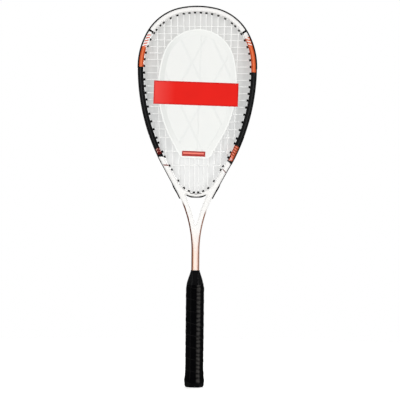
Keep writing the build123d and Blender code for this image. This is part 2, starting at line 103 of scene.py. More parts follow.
CROSS_DROP = [37.0, 50.5, 62.0, 74.0, 85.5, 97.0, 109.0, 121.0, 133.0, 145.0,
              157.0, 169.0, 181.5, 194.5, 208.0, 222.0, 237.0, 262.0, 287.0]
BRIDGE_MAINS = 2
LOOP_BOW = 1.1
STRIP_MEET = 0.45        # how far each strip runs on towards its neighbour
STRIP_STEP = 2.2
LOOP_OUT = 0.62          # centre of a string's run outside the tube's edge
CROSS_Z = [node_mm("bumper_guard")[1][2] - d for d in CROSS_DROP]


# ---------------------------------------------------------------- plan of the frame

def smooth(t):
    """Eases from 0 to 1."""
    t = np.clip(t, 0, 1)
    return t * t * (3 - 2 * t)


def rounded(a, corner, b, t):
    """Point of the short curve that rounds a corner from one point to another."""
    return a * (1 - t) ** 2 + corner * 2 * t * (1 - t) + b * t ** 2


def outward(heading):
    """Direction in the plan of the frame, in degrees from straight up towards the right."""
    a = math.radians(heading)
    return np.array([math.sin(a), math.cos(a)])


LEG_HEADING = 90 + FLANK_TURN
LEG_N = outward(LEG_HEADING)
LEG_DOWN = np.array([LEG_N[1], -LEG_N[0]])


def head_arcs():
    arcs, centre, start, radius = [], np.array([0.0, TOP_Z - CROWN_R]), 0.0, CROWN_R
    ends = [CROWN_TURN, CROWN_TURN + SHOULDER_TURN, 90.0, LEG_HEADING]
    for end, following in zip(ends, [SHOULDER_R, CHEEK_R, FLANK_R, FLANK_R]):
        arcs.append((start, end, centre, radius))
        centre = centre + outward(end) * (radius - following)
        start, radius = end, following
    return arcs


ARCS = head_arcs()
LEG_START = ARCS[-1][2] + outward(LEG_HEADING) * FLANK_R
LEG_LENGTH = (LEG_START[0] - SHAFT_HALF - NECK_R * (1 - LEG_N[0])) / -LEG_DOWN[0]
LEG_FOOT = LEG_HEADING + LEG_LENGTH
NECK_LENGTH = math.radians(FLANK_TURN) * NECK_R
LEG_END = LEG_START + LEG_DOWN * LEG_LENGTH
NECK_CENTRE = LEG_END + LEG_N * NECK_R
BRIDGE_Z = (BRIDGE_R + LEG_WIDTH - LEG_START @ LEG_N) / -LEG_N[1]
BRIDGE_CENTRE = np.array([0.0, BRIDGE_Z])


def beam_width(station):
    share = min(max(station - LEG_HEADING, 0.0) / LEG_LENGTH, 1.0)
    return HOOP_WIDTH + (LEG_WIDTH - HOOP_WIDTH) * share


def edge(station, inset=0.0):
    """Point at an inset from the tube's outer edge and its outward normal.

    A station is the heading in degrees round the head, then adds millimetres down the leg,
    then millimetres along the neck's arc and the shaft.
    """
    if station > LEG_FOOT:
        turn = math.degrees((station - LEG_FOOT) / NECK_R)
        if turn < FLANK_TURN:
            n = outward(LEG_HEADING - turn)
            return NECK_CENTRE - n * (NECK_R + inset), n
        drop = station - LEG_FOOT - NECK_LENGTH
        return np.array([SHAFT_HALF - inset, NECK_CENTRE[1] - drop]), np.array([1.0, 0.0])
    if station > LEG_HEADING:
        return LEG_START + LEG_DOWN * (station - LEG_HEADING) - LEG_N * inset, LEG_N
    for _, end, centre, radius in ARCS:
        if station <= end:
            n = outward(station)
            return centre + n * (radius - inset), n


def run_length(station):
    """Distance along the outer edge from the crown."""
    total = 0.0
    for start, end, _, radius in ARCS:
        total += math.radians(min(max(station, start), end) - start) * radius
    return total + max(station - LEG_HEADING, 0.0)


FOOT_STATION = LEG_FOOT + NECK_LENGTH
STATION_TABLE = np.concatenate([np.linspace(0, LEG_HEADING, 400),
                                np.linspace(LEG_HEADING, FOOT_STATION + 230, 400)[1:]])
RUN_TABLE = np.array([run_length(s) for s in STATION_TABLE])
MIDDLE_Z = np.array([edge(s, beam_width(s) / 2)[0][1] for s in STATION_TABLE])


def run_at(z):
    """Run along the edge where the tube's middle line is at a height."""
    return float(np.interp(-z, -MIDDLE_Z, RUN_TABLE))


def station_at_run(run):
    return float(np.interp(run, RUN_TABLE, STATION_TABLE))


def mouth_point(station):
    return edge(station, beam_width(station) + BARREL_PROUD + MOUTH_GAP)[0]


def turning_point(low, high, beyond):
    """Station between two others where a test turns true."""
    for _ in range(60):
        middle = (low + high) / 2
        if beyond(middle):
            high = middle
        else:
            low = middle
    return low


def mouth_at(axis, value, low, high):
    """Station whose barrel mouth has a coordinate: 0 across the head, 1 up it."""
    above = mouth_point(high)[axis] > value
    return turning_point(low, high, lambda s: (mouth_point(s)[axis] > value) == above)


TOP_STATIONS = [mouth_at(0, x, 0, 90) for x in MAIN_TOP_X]
LEG_STATIONS = [mouth_at(0, x, 90, LEG_FOOT) for x in MAIN_BOTTOM_X[BRIDGE_MAINS + 1:]]
SIDE_STATIONS = [mouth_at(1, z, 0, LEG_FOOT) for z in CROSS_Z]


def from_bridge(angle, radius):
    """Plan point at a distance from the bridge's centre; the angle counts from straight down."""
    return BRIDGE_CENTRE + radius * np.array([math.sin(angle), -math.cos(angle)])


def bridge_main(x):
    radius = BRIDGE_R - BARREL_PROUD - MOUTH_GAP
    n = np.array([x, -math.sqrt(radius ** 2 - x ** 2)]) / radius
    return BRIDGE_CENTRE + n * radius, n


SHARED_X = MAIN_BOTTOM_X[BRIDGE_MAINS]
SHARED_MOUTH = bridge_main(SHARED_X)[0]
SHARED_STATION = LEG_HEADING + (SHARED_MOUTH - LEG_START) @ LEG_DOWN
SHARED_REACH = -(SHARED_MOUTH - LEG_START) @ LEG_N


# ---------------------------------------------------------------- mesh helpers

def linked(name, data):
    obj = bpy.data.objects.new(name, data)
    bpy.context.scene.collection.objects.link(obj)
    return obj


def mesh_object(name, verts, faces):
    """Object in the scene with a mesh from points in millimetres."""
    mesh = bpy.data.meshes.new(name)
    mesh.from_pydata([tuple(float(c) * MM for c in v) for v in verts], [], faces)
    return linked(name, mesh)


class Soup:
    """Vertices, faces and one vector attribute, gathered from several parts."""

    def __init__(self):
        self.verts, self.faces, self.tags = [], [], []

    def add(self, verts, faces, tags=None):
        base = len(self.verts)
        self.verts += [tuple(v) for v in verts]
        self.faces += [[i + base for i in f] for f in faces]
        self.tags += [tuple(t) for t in tags] if tags is not None else [(0, 0, 0)] * len(verts)

    def loft(self, rings, tags=None, first=False, last=False, flipped=False):
        """Closed rings of points joined in order; an end is closed where asked."""
        count = len(rings[0])
        faces = grid_faces(len(rings), count)
        if first:
            faces.append(list(range(count))[::-1])
        if last:
            faces.append([(len(rings) - 1) * count + k for k in range(count)])
        self.add([p for ring in rings for p in ring], [f[::-1] for f in faces] if flipped else faces, tags)

    def mirrored(self):
        """Adds the mirror image to the left."""
        count = len(self.verts)
        self.verts += [(-x, y, z) for x, y, z in self.verts]
        self.faces += [[i + count for i in f[::-1]] for f in self.faces]
        self.tags += self.tags[:count]

    def welded(self, tolerance=1e-4):
        """Merges points closer than the tolerance and drops what collapses."""
        keys, kept, index = {}, [], []
        for i, v in enumerate(self.verts):
            key = tuple(int(round(c / tolerance)) for c in v)
            if key not in keys:
                keys[key] = len(kept)
                kept.append(i)
            index.append(keys[key])
        faces = []
        for f in self.faces:
            g = [index[i] for i in f]
            g = [a for a, b in zip(g, g[1:] + g[:1]) if a != b]
            if len(set(g)) >= 3:
                faces.append(g)
        self.verts = [self.verts[i] for i in kept]
        self.tags = [self.tags[i] for i in kept]
        self.faces = faces


def lofted(rings, tags=None, **ends):
    soup = Soup()
    soup.loft(rings, tags, **ends)
    return soup


def grid_faces(rows, columns):
    """Quads between rows of points, each row closed on itself."""
    faces = []
    for start in range(0, (rows - 1) * columns, columns):
        for j in range(columns):
            k = (j + 1) % columns
            faces.append([start + j, start + k, start + columns + k, start + columns + j])
    return faces


def unit_rows(vectors):
    return vectors / np.linalg.norm(vectors, axis=1)[:, None]


def square_to(ring):
    """Unit vectors square to a closed ring of plan points."""
    along = np.roll(ring, -1, 0) - np.roll(ring, 1, 0)
    return unit_rows(np.stack([along[:, 1], -along[:, 0]], 1))


def rounded_path(points, radius=0.9, steps=3):
    """Polyline with each sharp corner replaced by a short curve."""
    points = [np.array(p, float) for p in points]
    out = [points[0]]
    for a, b, c in zip(points, points[1:], points[2:]):
        u, v = a - b, c - b
        lu, lv = np.linalg.norm(u), np.linalg.norm(v)
        if lu < 1e-6 or lv < 1e-6:
            continue
        if np.dot(u, v) / (lu * lv) < -0.95:
            out.append(b)
            continue
        reach = min(radius, lu * 0.45, lv * 0.45)
        p, q = b + u / lu * reach, b + v / lv * reach
        out += [rounded(p, b, q, i / steps) for i in range(steps + 1)]
    out.append(points[-1])
    return out


def sideways(axis, other):
    """Unit vector square to an axis."""
    side = np.cross(axis, [0.0, 1.0, 0.0])
    side = side if np.linalg.norm(side) > 1e-3 else np.cross(axis, other)
    return side / np.linalg.norm(side)


def round_ring(centre, side, up, radius, sides):
    turns = [2 * math.pi * k / sides for k in range(sides)]
    return [centre + (side * math.cos(a) + up * math.sin(a)) * radius for a in turns]


def tube(soup, points, radius, sides=8):
    """Round tube along points, with its turn kept steady; the tag holds the run and the angle."""
    points = [np.array(p, float) for p in points]
    clean = [points[0]]
    for p in points[1:]:
        if np.linalg.norm(p - clean[-1]) > 0.02:
            clean.append(p)
    side, run, rings, tags = None, 0.0, [], []
    for i, p in enumerate(clean):
        t = clean[min(i + 1, len(clean) - 1)] - clean[max(i - 1, 0)]
        t /= np.linalg.norm(t)
        side = sideways(t, [1.0, 0.0, 0.0]) if side is None else side
        side = side - t * np.dot(side, t)
        side /= np.linalg.norm(side)
        run += np.linalg.norm(p - clean[i - 1]) if i else 0.0
        rings.append(round_ring(p, side, np.cross(t, side), radius, sides))
        tags += [(run, k / sides, 0.0) for k in range(sides)]
    soup.loft(rings, tags, first=True, last=True, flipped=True)


def lathe(soup, origin, axis, profile, sides=12):
    """Turned part: the profile holds distances along the axis and radii."""
    axis = np.array(axis, float) / np.linalg.norm(axis)
    side = sideways(axis, [0.0, 0.0, 1.0])
    up = np.cross(axis, side)
    soup.loft([round_ring(np.array(origin) + axis * along, side, up, radius, sides) for along, radius in profile])


# ---------------------------------------------------------------- node helpers

def colour(shade):
    """Linear colour with alpha from sRGB 0..255 values; a node's value stays as it is."""
    if isinstance(shade, Value):
        return shade
    return tuple((c / 255 / 12.92 if c / 255 <= 0.04045 else ((c / 255 + 0.055) / 1.055) ** 2.4)
                 for c in shade) + (1.0,)


def operator(operation, swapped=False):
    def method(self, *others):
        return self.nodes.math(operation, *((*others, self) if swapped else (self, *others)))
    return method


class Value:
    """A node's output, which takes part in sums as a number does."""

    __array_ufunc__ = None
    __add__, __sub__, __rsub__ = operator("ADD"), operator("SUBTRACT"), operator("SUBTRACT", swapped=True)
    __mul__, __truediv__, __pow__ = operator("MULTIPLY"), operator("DIVIDE"), operator("POWER")
    __gt__, __lt__, __abs__ = operator("GREATER_THAN"), operator("LESS_THAN"), operator("ABSOLUTE")

    def __init__(self, nodes, socket):
        self.nodes, self.socket = nodes, socket


def clamped(value):
    """The same sum, held between 0 and 1 by its own node."""
    value.socket.node.use_clamp = True
    return value


class Nodes:
    """Short calls for building the nodes of a material or of the world."""

    def __init__(self, name, kind="materials", shader="Principled BSDF", output="Material Output"):
        self.owner = getattr(bpy.data, kind).new(name)
        self.owner.use_nodes = True
        self.tree = self.owner.node_tree
        self.shader, self.end = self.tree.nodes[shader], self.tree.nodes[output]
        self.here = None

    def put(self, socket, value):
        value = getattr(value, "socket", value)
        if isinstance(value, bpy.types.NodeSocket):
            self.tree.links.new(value, socket)
        else:
            socket.default_value = value

    def add(self, kind, inputs=None, **settings):
        """New node with its settings and with values or links on its inputs."""
        node = self.tree.nodes.new(kind)
        for key, value in settings.items():
            setattr(node, key, value)
        for key, value in (inputs or {}).items():
            self.put(node.inputs[key], value)
        return node

    def made(self, output, kind, inputs=None, **settings):
        return Value(self, self.add(kind, inputs, **settings).outputs[output])

    def math(self, operation, *values):
        return self.made(0, "ShaderNodeMath", dict(enumerate(values)), operation=operation)

    fract, sine, root = partialmethod(math, "FRACT"), partialmethod(math, "SINE"), partialmethod(math, "SQRT")
    highest, lowest = partialmethod(math, "MAXIMUM"), partialmethod(math, "MINIMUM")
    bearing = partialmethod(math, "ARCTAN2")

    def mix(self, share, a, b, blend="MIX"):
        return self.made(2, "ShaderNodeMix", {0: share, 6: colour(a), 7: colour(b)},
                         data_type="RGBA", blend_type=blend)

    def blend(self, share, a, b):
        return self.made(0, "ShaderNodeMix", {0: share, 2: a, 3: b}, data_type="FLOAT")

    def stain(self, base, shade, cloud, above, gain, blend="MIX"):
        """Lets a shade through where a cloud stands above a value."""
        return self.mix(clamped((cloud - above) * gain), base, shade, blend)

    def ramp(self, value, stops, interpolation="LINEAR"):
        node = self.add("ShaderNodeValToRGB", {0: value})
        band = node.color_ramp
        band.interpolation = interpolation
        while len(band.elements) > 1:
            band.elements.remove(band.elements[-1])
        for i, (place, shade) in enumerate(stops):
            element = band.elements[0] if i == 0 else band.elements.new(place)
            element.position = place
            element.color = colour(shade)
        return Value(self, node.outputs[0])

    def noise(self, scale, detail=3.0, roughness=0.5, vector=None):
        return self.made("Fac", "ShaderNodeTexNoise",
                         {"Scale": scale, "Detail": detail, "Roughness": roughness,
                          "Vector": self.place() if vector is None else vector})

    def place(self):
        """Object coordinates, which are the row frame's."""
        if self.here is None:
            self.here = self.made("Object", "ShaderNodeTexCoord")
        return self.here

    def split(self, vector):
        return [Value(self, part) for part in self.add("ShaderNodeSeparateXYZ", {0: vector}).outputs]

    def lane(self):
        """The piece's own shading coordinates."""
        return self.split(self.made("Vector", "ShaderNodeAttribute", attribute_name="lane"))

    def bump(self, height, distance, strength=1.0, normal=None):
        inputs = {"Strength": strength, "Distance": distance, "Height": height}
        if normal is not None:
            inputs["Normal"] = normal
        return self.made(0, "ShaderNodeBump", inputs)

    def two_shaders(self, share, first, second):
        return self.made(0, "ShaderNodeMixShader", {0: share, 1: first, 2: second})

    def output(self, shader):
        self.put(self.end.inputs[0], shader)

    def finish(self, **values):
        for key, value in values.items():
            self.put(self.shader.inputs[key.replace("_", " ")], value)
        return self.owner


# ---------------------------------------------------------------- frame and bridge shapes

def inner_edge(station):
    return edge(station, beam_width(station))[0]


CROTCH_DROP = math.sqrt((NECK_R + LEG_WIDTH + CROTCH_R) ** 2 - NECK_CENTRE[0] ** 2)
CROTCH_CENTRE = np.array([0.0, NECK_CENTRE[1] + CROTCH_DROP])
CROTCH_HEADING = math.degrees(math.atan2(NECK_CENTRE[0], NECK_CENTRE[1] - CROTCH_CENTRE[1]))
CROTCH_STATION = LEG_FOOT + math.radians(LEG_HEADING - CROTCH_HEADING) * NECK_R
STEM_STATION = CROTCH_STATION + 9.5

# The bridge's lower corners: a small arc between its lower face and the leg's inner edge
CORNER_R = 1.6


def clear_of_bridge(station):
    """Whether the corner's arc, set against the leg here, stands clear of the bridge's lower face."""
    point, normal = edge(station, beam_width(station))
    gap = np.linalg.norm(point - normal * CORNER_R - BRIDGE_CENTRE)
    return gap > BRIDGE_R + BRIDGE_THICKNESS + CORNER_R


CORNER_STATION = turning_point(LEG_HEADING + LEG_LENGTH * 0.75, CROTCH_STATION, clear_of_bridge)
CORNER_POINT, CORNER_NORMAL = edge(CORNER_STATION, beam_width(CORNER_STATION))
CORNER_CENTRE = CORNER_POINT - CORNER_NORMAL * CORNER_R
TOUCH_STATION = LEG_HEADING + (BRIDGE_CENTRE + LEG_N * BRIDGE_R - LEG_START) @ LEG_DOWN


def around_bridge(point):
    """Angle from straight down and distance, seen from the bridge's centre."""
    d = point - BRIDGE_CENTRE
    return math.atan2(d[0], -d[1]), float(np.hypot(*d))


TOUCH_ANGLE, TOUCH_R = around_bridge(inner_edge(TOUCH_STATION))
LOWER_ANGLE = around_bridge(CORNER_CENTRE)[0]


def bridge_top(angle):
    flare = smooth((angle / TOUCH_ANGLE - 0.7) / 0.3)
    return from_bridge(angle, BRIDGE_R + (TOUCH_R - BRIDGE_R) * flare)


def bridge_bottom(angle):
    return from_bridge(angle, BRIDGE_R + BRIDGE_THICKNESS)


def corner_arc(count):
    first = bridge_bottom(LOWER_ANGLE) - CORNER_CENTRE
    a = math.atan2(first[1], first[0])
    b = math.atan2(CORNER_NORMAL[1], CORNER_NORMAL[0])
    return [CORNER_CENTRE + CORNER_R * np.array([math.cos(t), math.sin(t)]) for t in np.linspace(a, b, count)]


def crotch_arc(count):
    return [CROTCH_CENTRE + CROTCH_R * outward(h) for h in np.linspace(CROTCH_HEADING, 180, count)]


def opening_edges():
    """Right half of both openings' edges, as fine point runs."""
    hoop = [inner_edge(s) for s in np.linspace(0, LEG_HEADING, 900)]
    hoop += [inner_edge(s) for s in np.linspace(LEG_HEADING, TOUCH_STATION, 60)[1:]]
    hoop += [bridge_top(a) for a in np.linspace(TOUCH_ANGLE, 0, 120)]
    throat = [bridge_bottom(a) for a in np.linspace(0, LOWER_ANGLE, 80)] + corner_arc(24)
    throat += [inner_edge(s) for s in np.linspace(CORNER_STATION, CROTCH_STATION, 120)[1:]]
    throat += crotch_arc(24)[1:]
    return np.array(hoop), np.array(throat)


HOOP_EDGE, THROAT_EDGE = opening_edges()


def distance_to(run, points):
    """Distance from each plan point to a run of straight pieces."""
    a, b = run[:-1], run[1:]
    d = b - a
    best = np.full(len(points), FAR)
    for start in range(0, len(points), 400):
        p = points[start:start + 400, None, :]
        t = np.clip(((p - a) * d).sum(2) / np.maximum((d * d).sum(1), 1e-12), 0, 1)
        best[start:start + 400] = np.linalg.norm(p - (a + t[..., None] * d), axis=2).min(1)
    return best


def face_height(distance):
    """Half depth of the moulding at a distance from its nearest edge."""
    share = 1 - np.clip(distance, 0, EDGE_ROUND) / EDGE_ROUND
    return HALF_DEPTH - EDGE_DEPTH + EDGE_DEPTH * (1 - share ** EDGE_POWER) ** (1 / EDGE_POWER)


RAILS = [EDGE_ROUND * (1 - math.cos(math.radians(90 * k / 6))) for k in range(7)]


def heights_of(plan, known):
    """Half depths of plan points; known insets stand where they agree with the measured ones."""
    plan, known = np.array(plan), np.array(known)
    gap = np.minimum(distance_to(HOOP_EDGE, plan), distance_to(THROAT_EDGE, plan))
    outer, inner = known[:, 0], known[:, 1]
    gap = np.where(np.abs(gap - inner) < 0.08, inner, gap)
    return face_height(np.minimum(gap, outer))


def frame_half():
    """Stations of the right half of the tube, each with its edge point and outward normal, down to
    the solid stem below the crotch; past the crotch's start the inner edge follows its small arc."""
    ring = [station_at_run(r) for r in np.arange(0, run_length(CROTCH_STATION) - 1.2, 2.4)] + [CROTCH_STATION]
    end = groove_end_station()
    ring = sorted([s for s in ring if abs(s - end) > 0.8] + [end - 0.15, end + 0.15])
    sections = [(s, *edge(s), None) for s in ring]
    for share, point in list(zip(np.arange(8) / 7, crotch_arc(8)))[1:]:
        s = CROTCH_STATION + (STEM_STATION - CROTCH_STATION) * share
        sections.append((s, *edge(s), (point, (point - CROTCH_CENTRE) / CROTCH_R, share)))
    closed = len(sections)
    stem = [*np.linspace(STEM_STATION, FOOT_STATION, 16)[1:], FOOT_STATION + 40, FOOT_STATION + 100,
            FOOT_STATION + NECK_CENTRE[1] - TUBE_LOW[2]]
    return sections + [(s, *edge(s), None) for s in stem], closed


def groove_end_station():
    """Station just below the leg strips, where the groove runs out."""
    strip_end = node_mm("leg_grommet_strip_right")[0][2] - 1.0
    return turning_point(LEG_HEADING, CROTCH_STATION, lambda s: edge(s)[0][1] <= strip_end)


def frame_soup():
    """The tube's right half, round each section from the outer edge over the front face and back, and
    its mirror image. The tag holds the run, the share of the width and the inset from the outer edge."""
    sections, closed = frame_half()
    groove_to = groove_end_station()
    plan, known, tags, sizes = [], [], [], []

    def note(point, from_outer, from_inner, across, inset):
        plan.append(point)
        known.append((from_outer, from_inner))
        tags.append((run, across, inset))

    for i, (s, o, n, turned) in enumerate(sections):
        w, run = beam_width(s), run_length(s)
        for d in RAILS:
            note(o - n * d, d, FAR, d / w, d)
        if i < closed:
            inner, m, share = turned or (o - n * w, n, 0)
            half = w / 2 + 0.75 * share
            note(inner + m * half, FAR if turned else half, half, 0.5, w / 2)
            for d in RAILS[::-1]:
                note(inner + m * d, FAR, d, 1 - d / w, w - d)
        else:
            sink = max(0.0, 1 - (i - closed + 1) / 7)
            note(np.array([0.0, o[1] + 3.4 * sink]), o[0], FAR, 0.5, o[0])
        sizes.append(2 * len(RAILS) + 1 if i < closed else len(RAILS) + 1)
    heights = heights_of(plan, known)
    soup = Soup()
    rows, cursor = [], 0
    for (s, o, n, turned), size in zip(sections, sizes):
        p, h, t = plan[cursor:cursor + size], heights[cursor:cursor + size], tags[cursor:cursor + size]
        cursor += size
        front = [(q[0], -z, q[1]) for q, z in zip(p, h)]
        inside = []
        if size > len(RAILS) + 1:
            q, z = p[-1], h[-1]
            if turned is None and z <= HALF_DEPTH - EDGE_DEPTH + 0.5:
                q = q - n * 0.25
            inside = [(q[0], y, q[1]) for y in (-z / 3, z / 3)]
        back = [(x, -y, z) for x, y, z in front[::-1]]
        g = GROOVE_DEPTH if s < groove_to else 0.0
        lip = GROOVE_HALF - 0.08
        groove = [(o - n * inset, y) for y, inset in ((GROOVE_HALF, 0), (lip, g), (1.5, g),
                                                      (-1.5, g), (-lip, g), (-GROOVE_HALF, 0))]
        rows.append((len(soup.verts), size))
        soup.add(front + inside + back + [(q[0], y, q[1]) for q, y in groove], [],
                 t + [t[-1]] * len(inside) + t[::-1] + [(t[0][0], 0.0, -1.0)] * len(groove))
    face, count = len(RAILS) + 1, 2 * sizes[0] + 8
    for i, ((a, size), (b, size_b)) in enumerate(zip(rows, rows[1:])):
        if i + 1 < closed:
            soup.faces += [[a + k, a + (k + 1) % count, b + (k + 1) % count, b + k] for k in range(count)]
            continue
        back_a, back_b = a + (2 * size + 2 - face if i < closed else size), b + size_b
        for first, following, quads in ((a, b, face - 1), (back_a, back_b, face + 5)):
            soup.faces += [[first + k, first + k + 1, following + k + 1, following + k] for k in range(quads)]
        soup.faces.append([back_a + face + 5, a, b, back_b + face + 5])
    soup.mirrored()
    soup.welded()
    return soup


def bridge_soup():
    """The yoke between the legs, right half and mirror image."""
    corner = around_bridge(CORNER_POINT)[0] + 0.02
    under = np.linspace(0, LOWER_ANGLE, 15)
    angles = [*under, *np.linspace(LOWER_ANGLE, corner, 8)[1:], *np.linspace(corner, TOUCH_ANGLE, 16)[1:]]
    tops = [bridge_top(a) for a in angles]
    bottoms = [bridge_bottom(a) for a in under] + corner_arc(8)[1:]
    bottoms += [inner_edge(s) for s in np.linspace(CORNER_STATION, TOUCH_STATION, 16)[1:]]
    plan, known, tags = [], [], []
    for i, (a, b) in enumerate(zip(tops, bottoms)):
        length = np.linalg.norm(b - a)
        u = (b - a) / max(length, 1e-9)
        insets = [d * min(1.0, length / BRIDGE_THICKNESS) for d in RAILS]
        plan += [a + u * d for d in insets] + [(a + b) / 2] + [b - u * d for d in insets[::-1]]
        known += [(FAR, d) for d in insets] + [(FAR, length / 2)]
        known += [(FAR, d if i < len(under) else -9.0) for d in insets[::-1]]
        tags += [(i, d / BRIDGE_THICKNESS, 0) for d in insets] + [(i, 0.5, 0)]
        tags += [(i, 1 - d / BRIDGE_THICKNESS, 0) for d in insets[::-1]]
    heights = heights_of(plan, known)
    size = 2 * len(RAILS) + 1
    soup = Soup()
    groove_x = node_mm("bridge_grommet_strip")[1][0] + 0.9
    rings, labels = [], []
    for i, bottom in enumerate(bottoms):
        row = slice(i * size, (i + 1) * size)
        p, h, t = plan[row], heights[row], tags[row]
        front = [(q[0], -z, q[1]) for q, z in zip(p, h)]
        out = (bottom - BRIDGE_CENTRE) / np.linalg.norm(bottom - BRIDGE_CENTRE)
        g = GROOVE_DEPTH if bottom[0] < groove_x and i < len(under) else 0.0
        lip = min(GROOVE_HALF, h[-1] * 0.99)
        groove = [(p[-1] - out * inset, y) for y, inset in ((-lip, 0), (-lip * 0.982, g), (0, g),
                                                            (lip * 0.982, g), (lip, 0))]
        back = [(x, -y, z) for x, y, z in front[::-1]]
        top = [(p[0][0], y, p[0][1]) for y in (h[0] / 3, -h[0] / 3)]
        rings.append(front + [(q[0], y, q[1]) for q, y in groove] + back + top)
        labels += t + [(i, 1.0, -1.0)] * len(groove) + t[::-1] + [(i, 0.0, 0.0)] * len(top)
    soup.loft(rings, labels)
    soup.mirrored()
    soup.welded()
    return soup


# ---------------------------------------------------------------- strips and barrels

def add_barrel(soup, point, normal, width, side):
    """Grommet barrel, inwards through the wall: a small flange, the tube and its rounded lip."""
    lip = width + BARREL_PROUD + 1.1
    profile = [(width - 0.8, 1.4), (width - 0.15, 2.35), (width + 0.3, 2.32), (width + 0.55, 2.1),
               (lip - 0.35, 2.04), (lip - 0.08, 1.9), (lip, 1.6), (lip - 0.1, 1.1), (lip - 1.1, 0.72)]
    lathe(soup, (point[0] * side, 0.0, point[1]), (-normal[0] * side, 0.0, -normal[1]), profile)


def both_faces(front):
    """A section's front half with its mirror image, as (inset, y)."""
    return front + [(inset, -y) for inset, y in front[::-1]]


def strip_section(proud):
    """Section of a strip that stands out from the tube's edge, with a channel for the strings."""
    p = proud
    return both_faces([(1.5, -4.3), (0.6, -4.4), (0.9 - p, -4.45), (0.35 - p, -4.3), (0.08 - p, -3.95),
                       (-p, -3.5), (-p, -2.75), (0.12 - p, -2.42), (0.4 - p, -2.3), (0.4, -2.2)])


def bumper_section(proud):
    """The bumper also laps over the tube's rounding with a thin flange on each face."""
    p = proud
    return both_faces([(1.5, -4.3), (0.6, -4.4), (0.5, -5.2), (0.7, -7.0), (0.8, -8.0), (0.4, -8.05),
                       (0.2, -7.9), (-0.08, -7.2), (-0.3, -6.2), (-0.45, -5.3), (-0.75, -4.7),
                       (0.2 - p, -4.2), (0.03 - p, -3.8), (-p, -3.4), (-p, -2.75), (0.12 - p, -2.42),
                       (0.4 - p, -2.3), (0.4, -2.2)])


def end_ease(distance, length, least):
    """Share of a strip's height that is left near its rounded end."""
    share = min(1.0, distance / length)
    return least + (1 - least) * math.sqrt(share * (2 - share))


def add_strip(soup, first, last, proud_at, side, section):
    """Moulded strip along the tube's edge between two runs, with rounded ends."""
    ends = [0.01, 0.25, 0.7, 1.4]
    runs = [first + e for e in ends]
    runs += list(np.linspace(first + 2.4, last - 2.4, max(4, int((last - first) / STRIP_STEP))))
    runs += [last - e for e in ends[::-1]]
    rows, tags = [], []
    for r in runs:
        o, n = edge(station_at_run(abs(r)))
        across = -side if r < 0 else side
        ease = end_ease(min(r - first, last - r), 1.8, 0.7)
        row = [(o - n * inset, y) for inset, y in section(proud_at(abs(r)) * ease)]
        rows.append([(q[0] * across, y * (0.94 + 0.06 * ease), q[1]) for q, y in row])
        tags += [(r, k / len(row), 0.0) for k in range(len(row))]
    soup.loft(rows, tags, first=True, last=True)


def run_of_height(z):
    """Run where the tube's outer edge is at a height."""
    heights = np.array([edge(s)[0][1] for s in STATION_TABLE])
    return float(np.interp(-z, -heights, RUN_TABLE))


def stations_in(low_z, high_z):
    stations = TOP_STATIONS + SIDE_STATIONS + LEG_STATIONS + [SHARED_STATION]
    return [s for s in stations if low_z < edge(s)[0][1] < high_z]


def strip_soup(node, sides, proud_at, section=strip_section):
    """Strip of a node with its barrels, on one side or over the crown to both."""
    low, high = node_mm(node)
    soup = Soup()
    last = run_of_height(low[2])
    first = -last if len(sides) == 2 else run_of_height(high[2])
    add_strip(soup, first - STRIP_MEET, last + STRIP_MEET, proud_at, sides[0], section)
    for s in stations_in(low[2], high[2] + 1):
        width = SHARED_REACH - MOUTH_GAP - BARREL_PROUD if s == SHARED_STATION else beam_width(s)
        for side in sides:
            add_barrel(soup, *edge(s), width, side)
    return soup


def bridge_strip_soup():
    soup = Soup()
    half = node_mm("bridge_grommet_strip")[1][0]
    lower_r = BRIDGE_R + BRIDGE_THICKNESS
    limit = math.asin(half / (lower_r + 1.2))
    rows = []
    for a in np.linspace(-limit, limit, 34):
        ease = end_ease((limit - abs(a)) * lower_r, 3.0, 0.3)
        proud = 2.1 + 0.45 * math.exp(-((abs(lower_r * math.sin(a)) - 8.6) / 3.2) ** 2)
        row = [(from_bridge(a, lower_r - inset), y) for inset, y in strip_section(proud * ease)]
        rows.append([(q[0], y * (0.9 + 0.1 * ease), q[1]) for q, y in row])
    soup.loft(rows, [(p[0], 1.0, 0.0) for row in rows for p in row], first=True, last=True)
    for x in MAIN_BOTTOM_X[:BRIDGE_MAINS]:
        mouth, n = bridge_main(x)
        foot = mouth + n * (BARREL_PROUD + MOUTH_GAP + BRIDGE_THICKNESS)
        for side in (1, -1):
            add_barrel(soup, foot, n, BRIDGE_THICKNESS, side)
    return soup


# ---------------------------------------------------------------- strings

def in_space(point, side, y=0.0):
    return np.array([side * point[0], y, point[1]])


def tube_loop(start, end, side, bow, others):
    """Run of a string round the outside of the tube, bowed aside where it passes the other string."""
    lift = bow if any(min(start, end) < s < max(start, end) for s in others) else 0.0
    return [in_space(edge(start + (end - start) * t, -LOOP_OUT)[0], side, lift * math.sin(math.pi * t) ** 0.5)
            for t in np.linspace(0, 1, 13)]


def bridge_loop(side):
    ends = [math.asin(bridge_main(x)[1][0]) for x in MAIN_BOTTOM_X[:BRIDGE_MAINS]]
    return [in_space(from_bridge(a, BRIDGE_R + BRIDGE_THICKNESS + LOOP_OUT), side) for a in np.linspace(*ends, 7)]


def bottom_mouth(index):
    if index < BRIDGE_MAINS:
        return bridge_main(MAIN_BOTTOM_X[index])[0]
    if index == BRIDGE_MAINS:
        return SHARED_MOUTH
    return mouth_point(LEG_STATIONS[index - BRIDGE_MAINS - 1])


def bottom_station(index):
    return SHARED_STATION if index == BRIDGE_MAINS else LEG_STATIONS[index - BRIDGE_MAINS - 1]


def main_order(index, side):
    """Place of a main counted from the left."""
    count = len(MAIN_TOP_X)
    return count + index if side > 0 else count - 1 - index


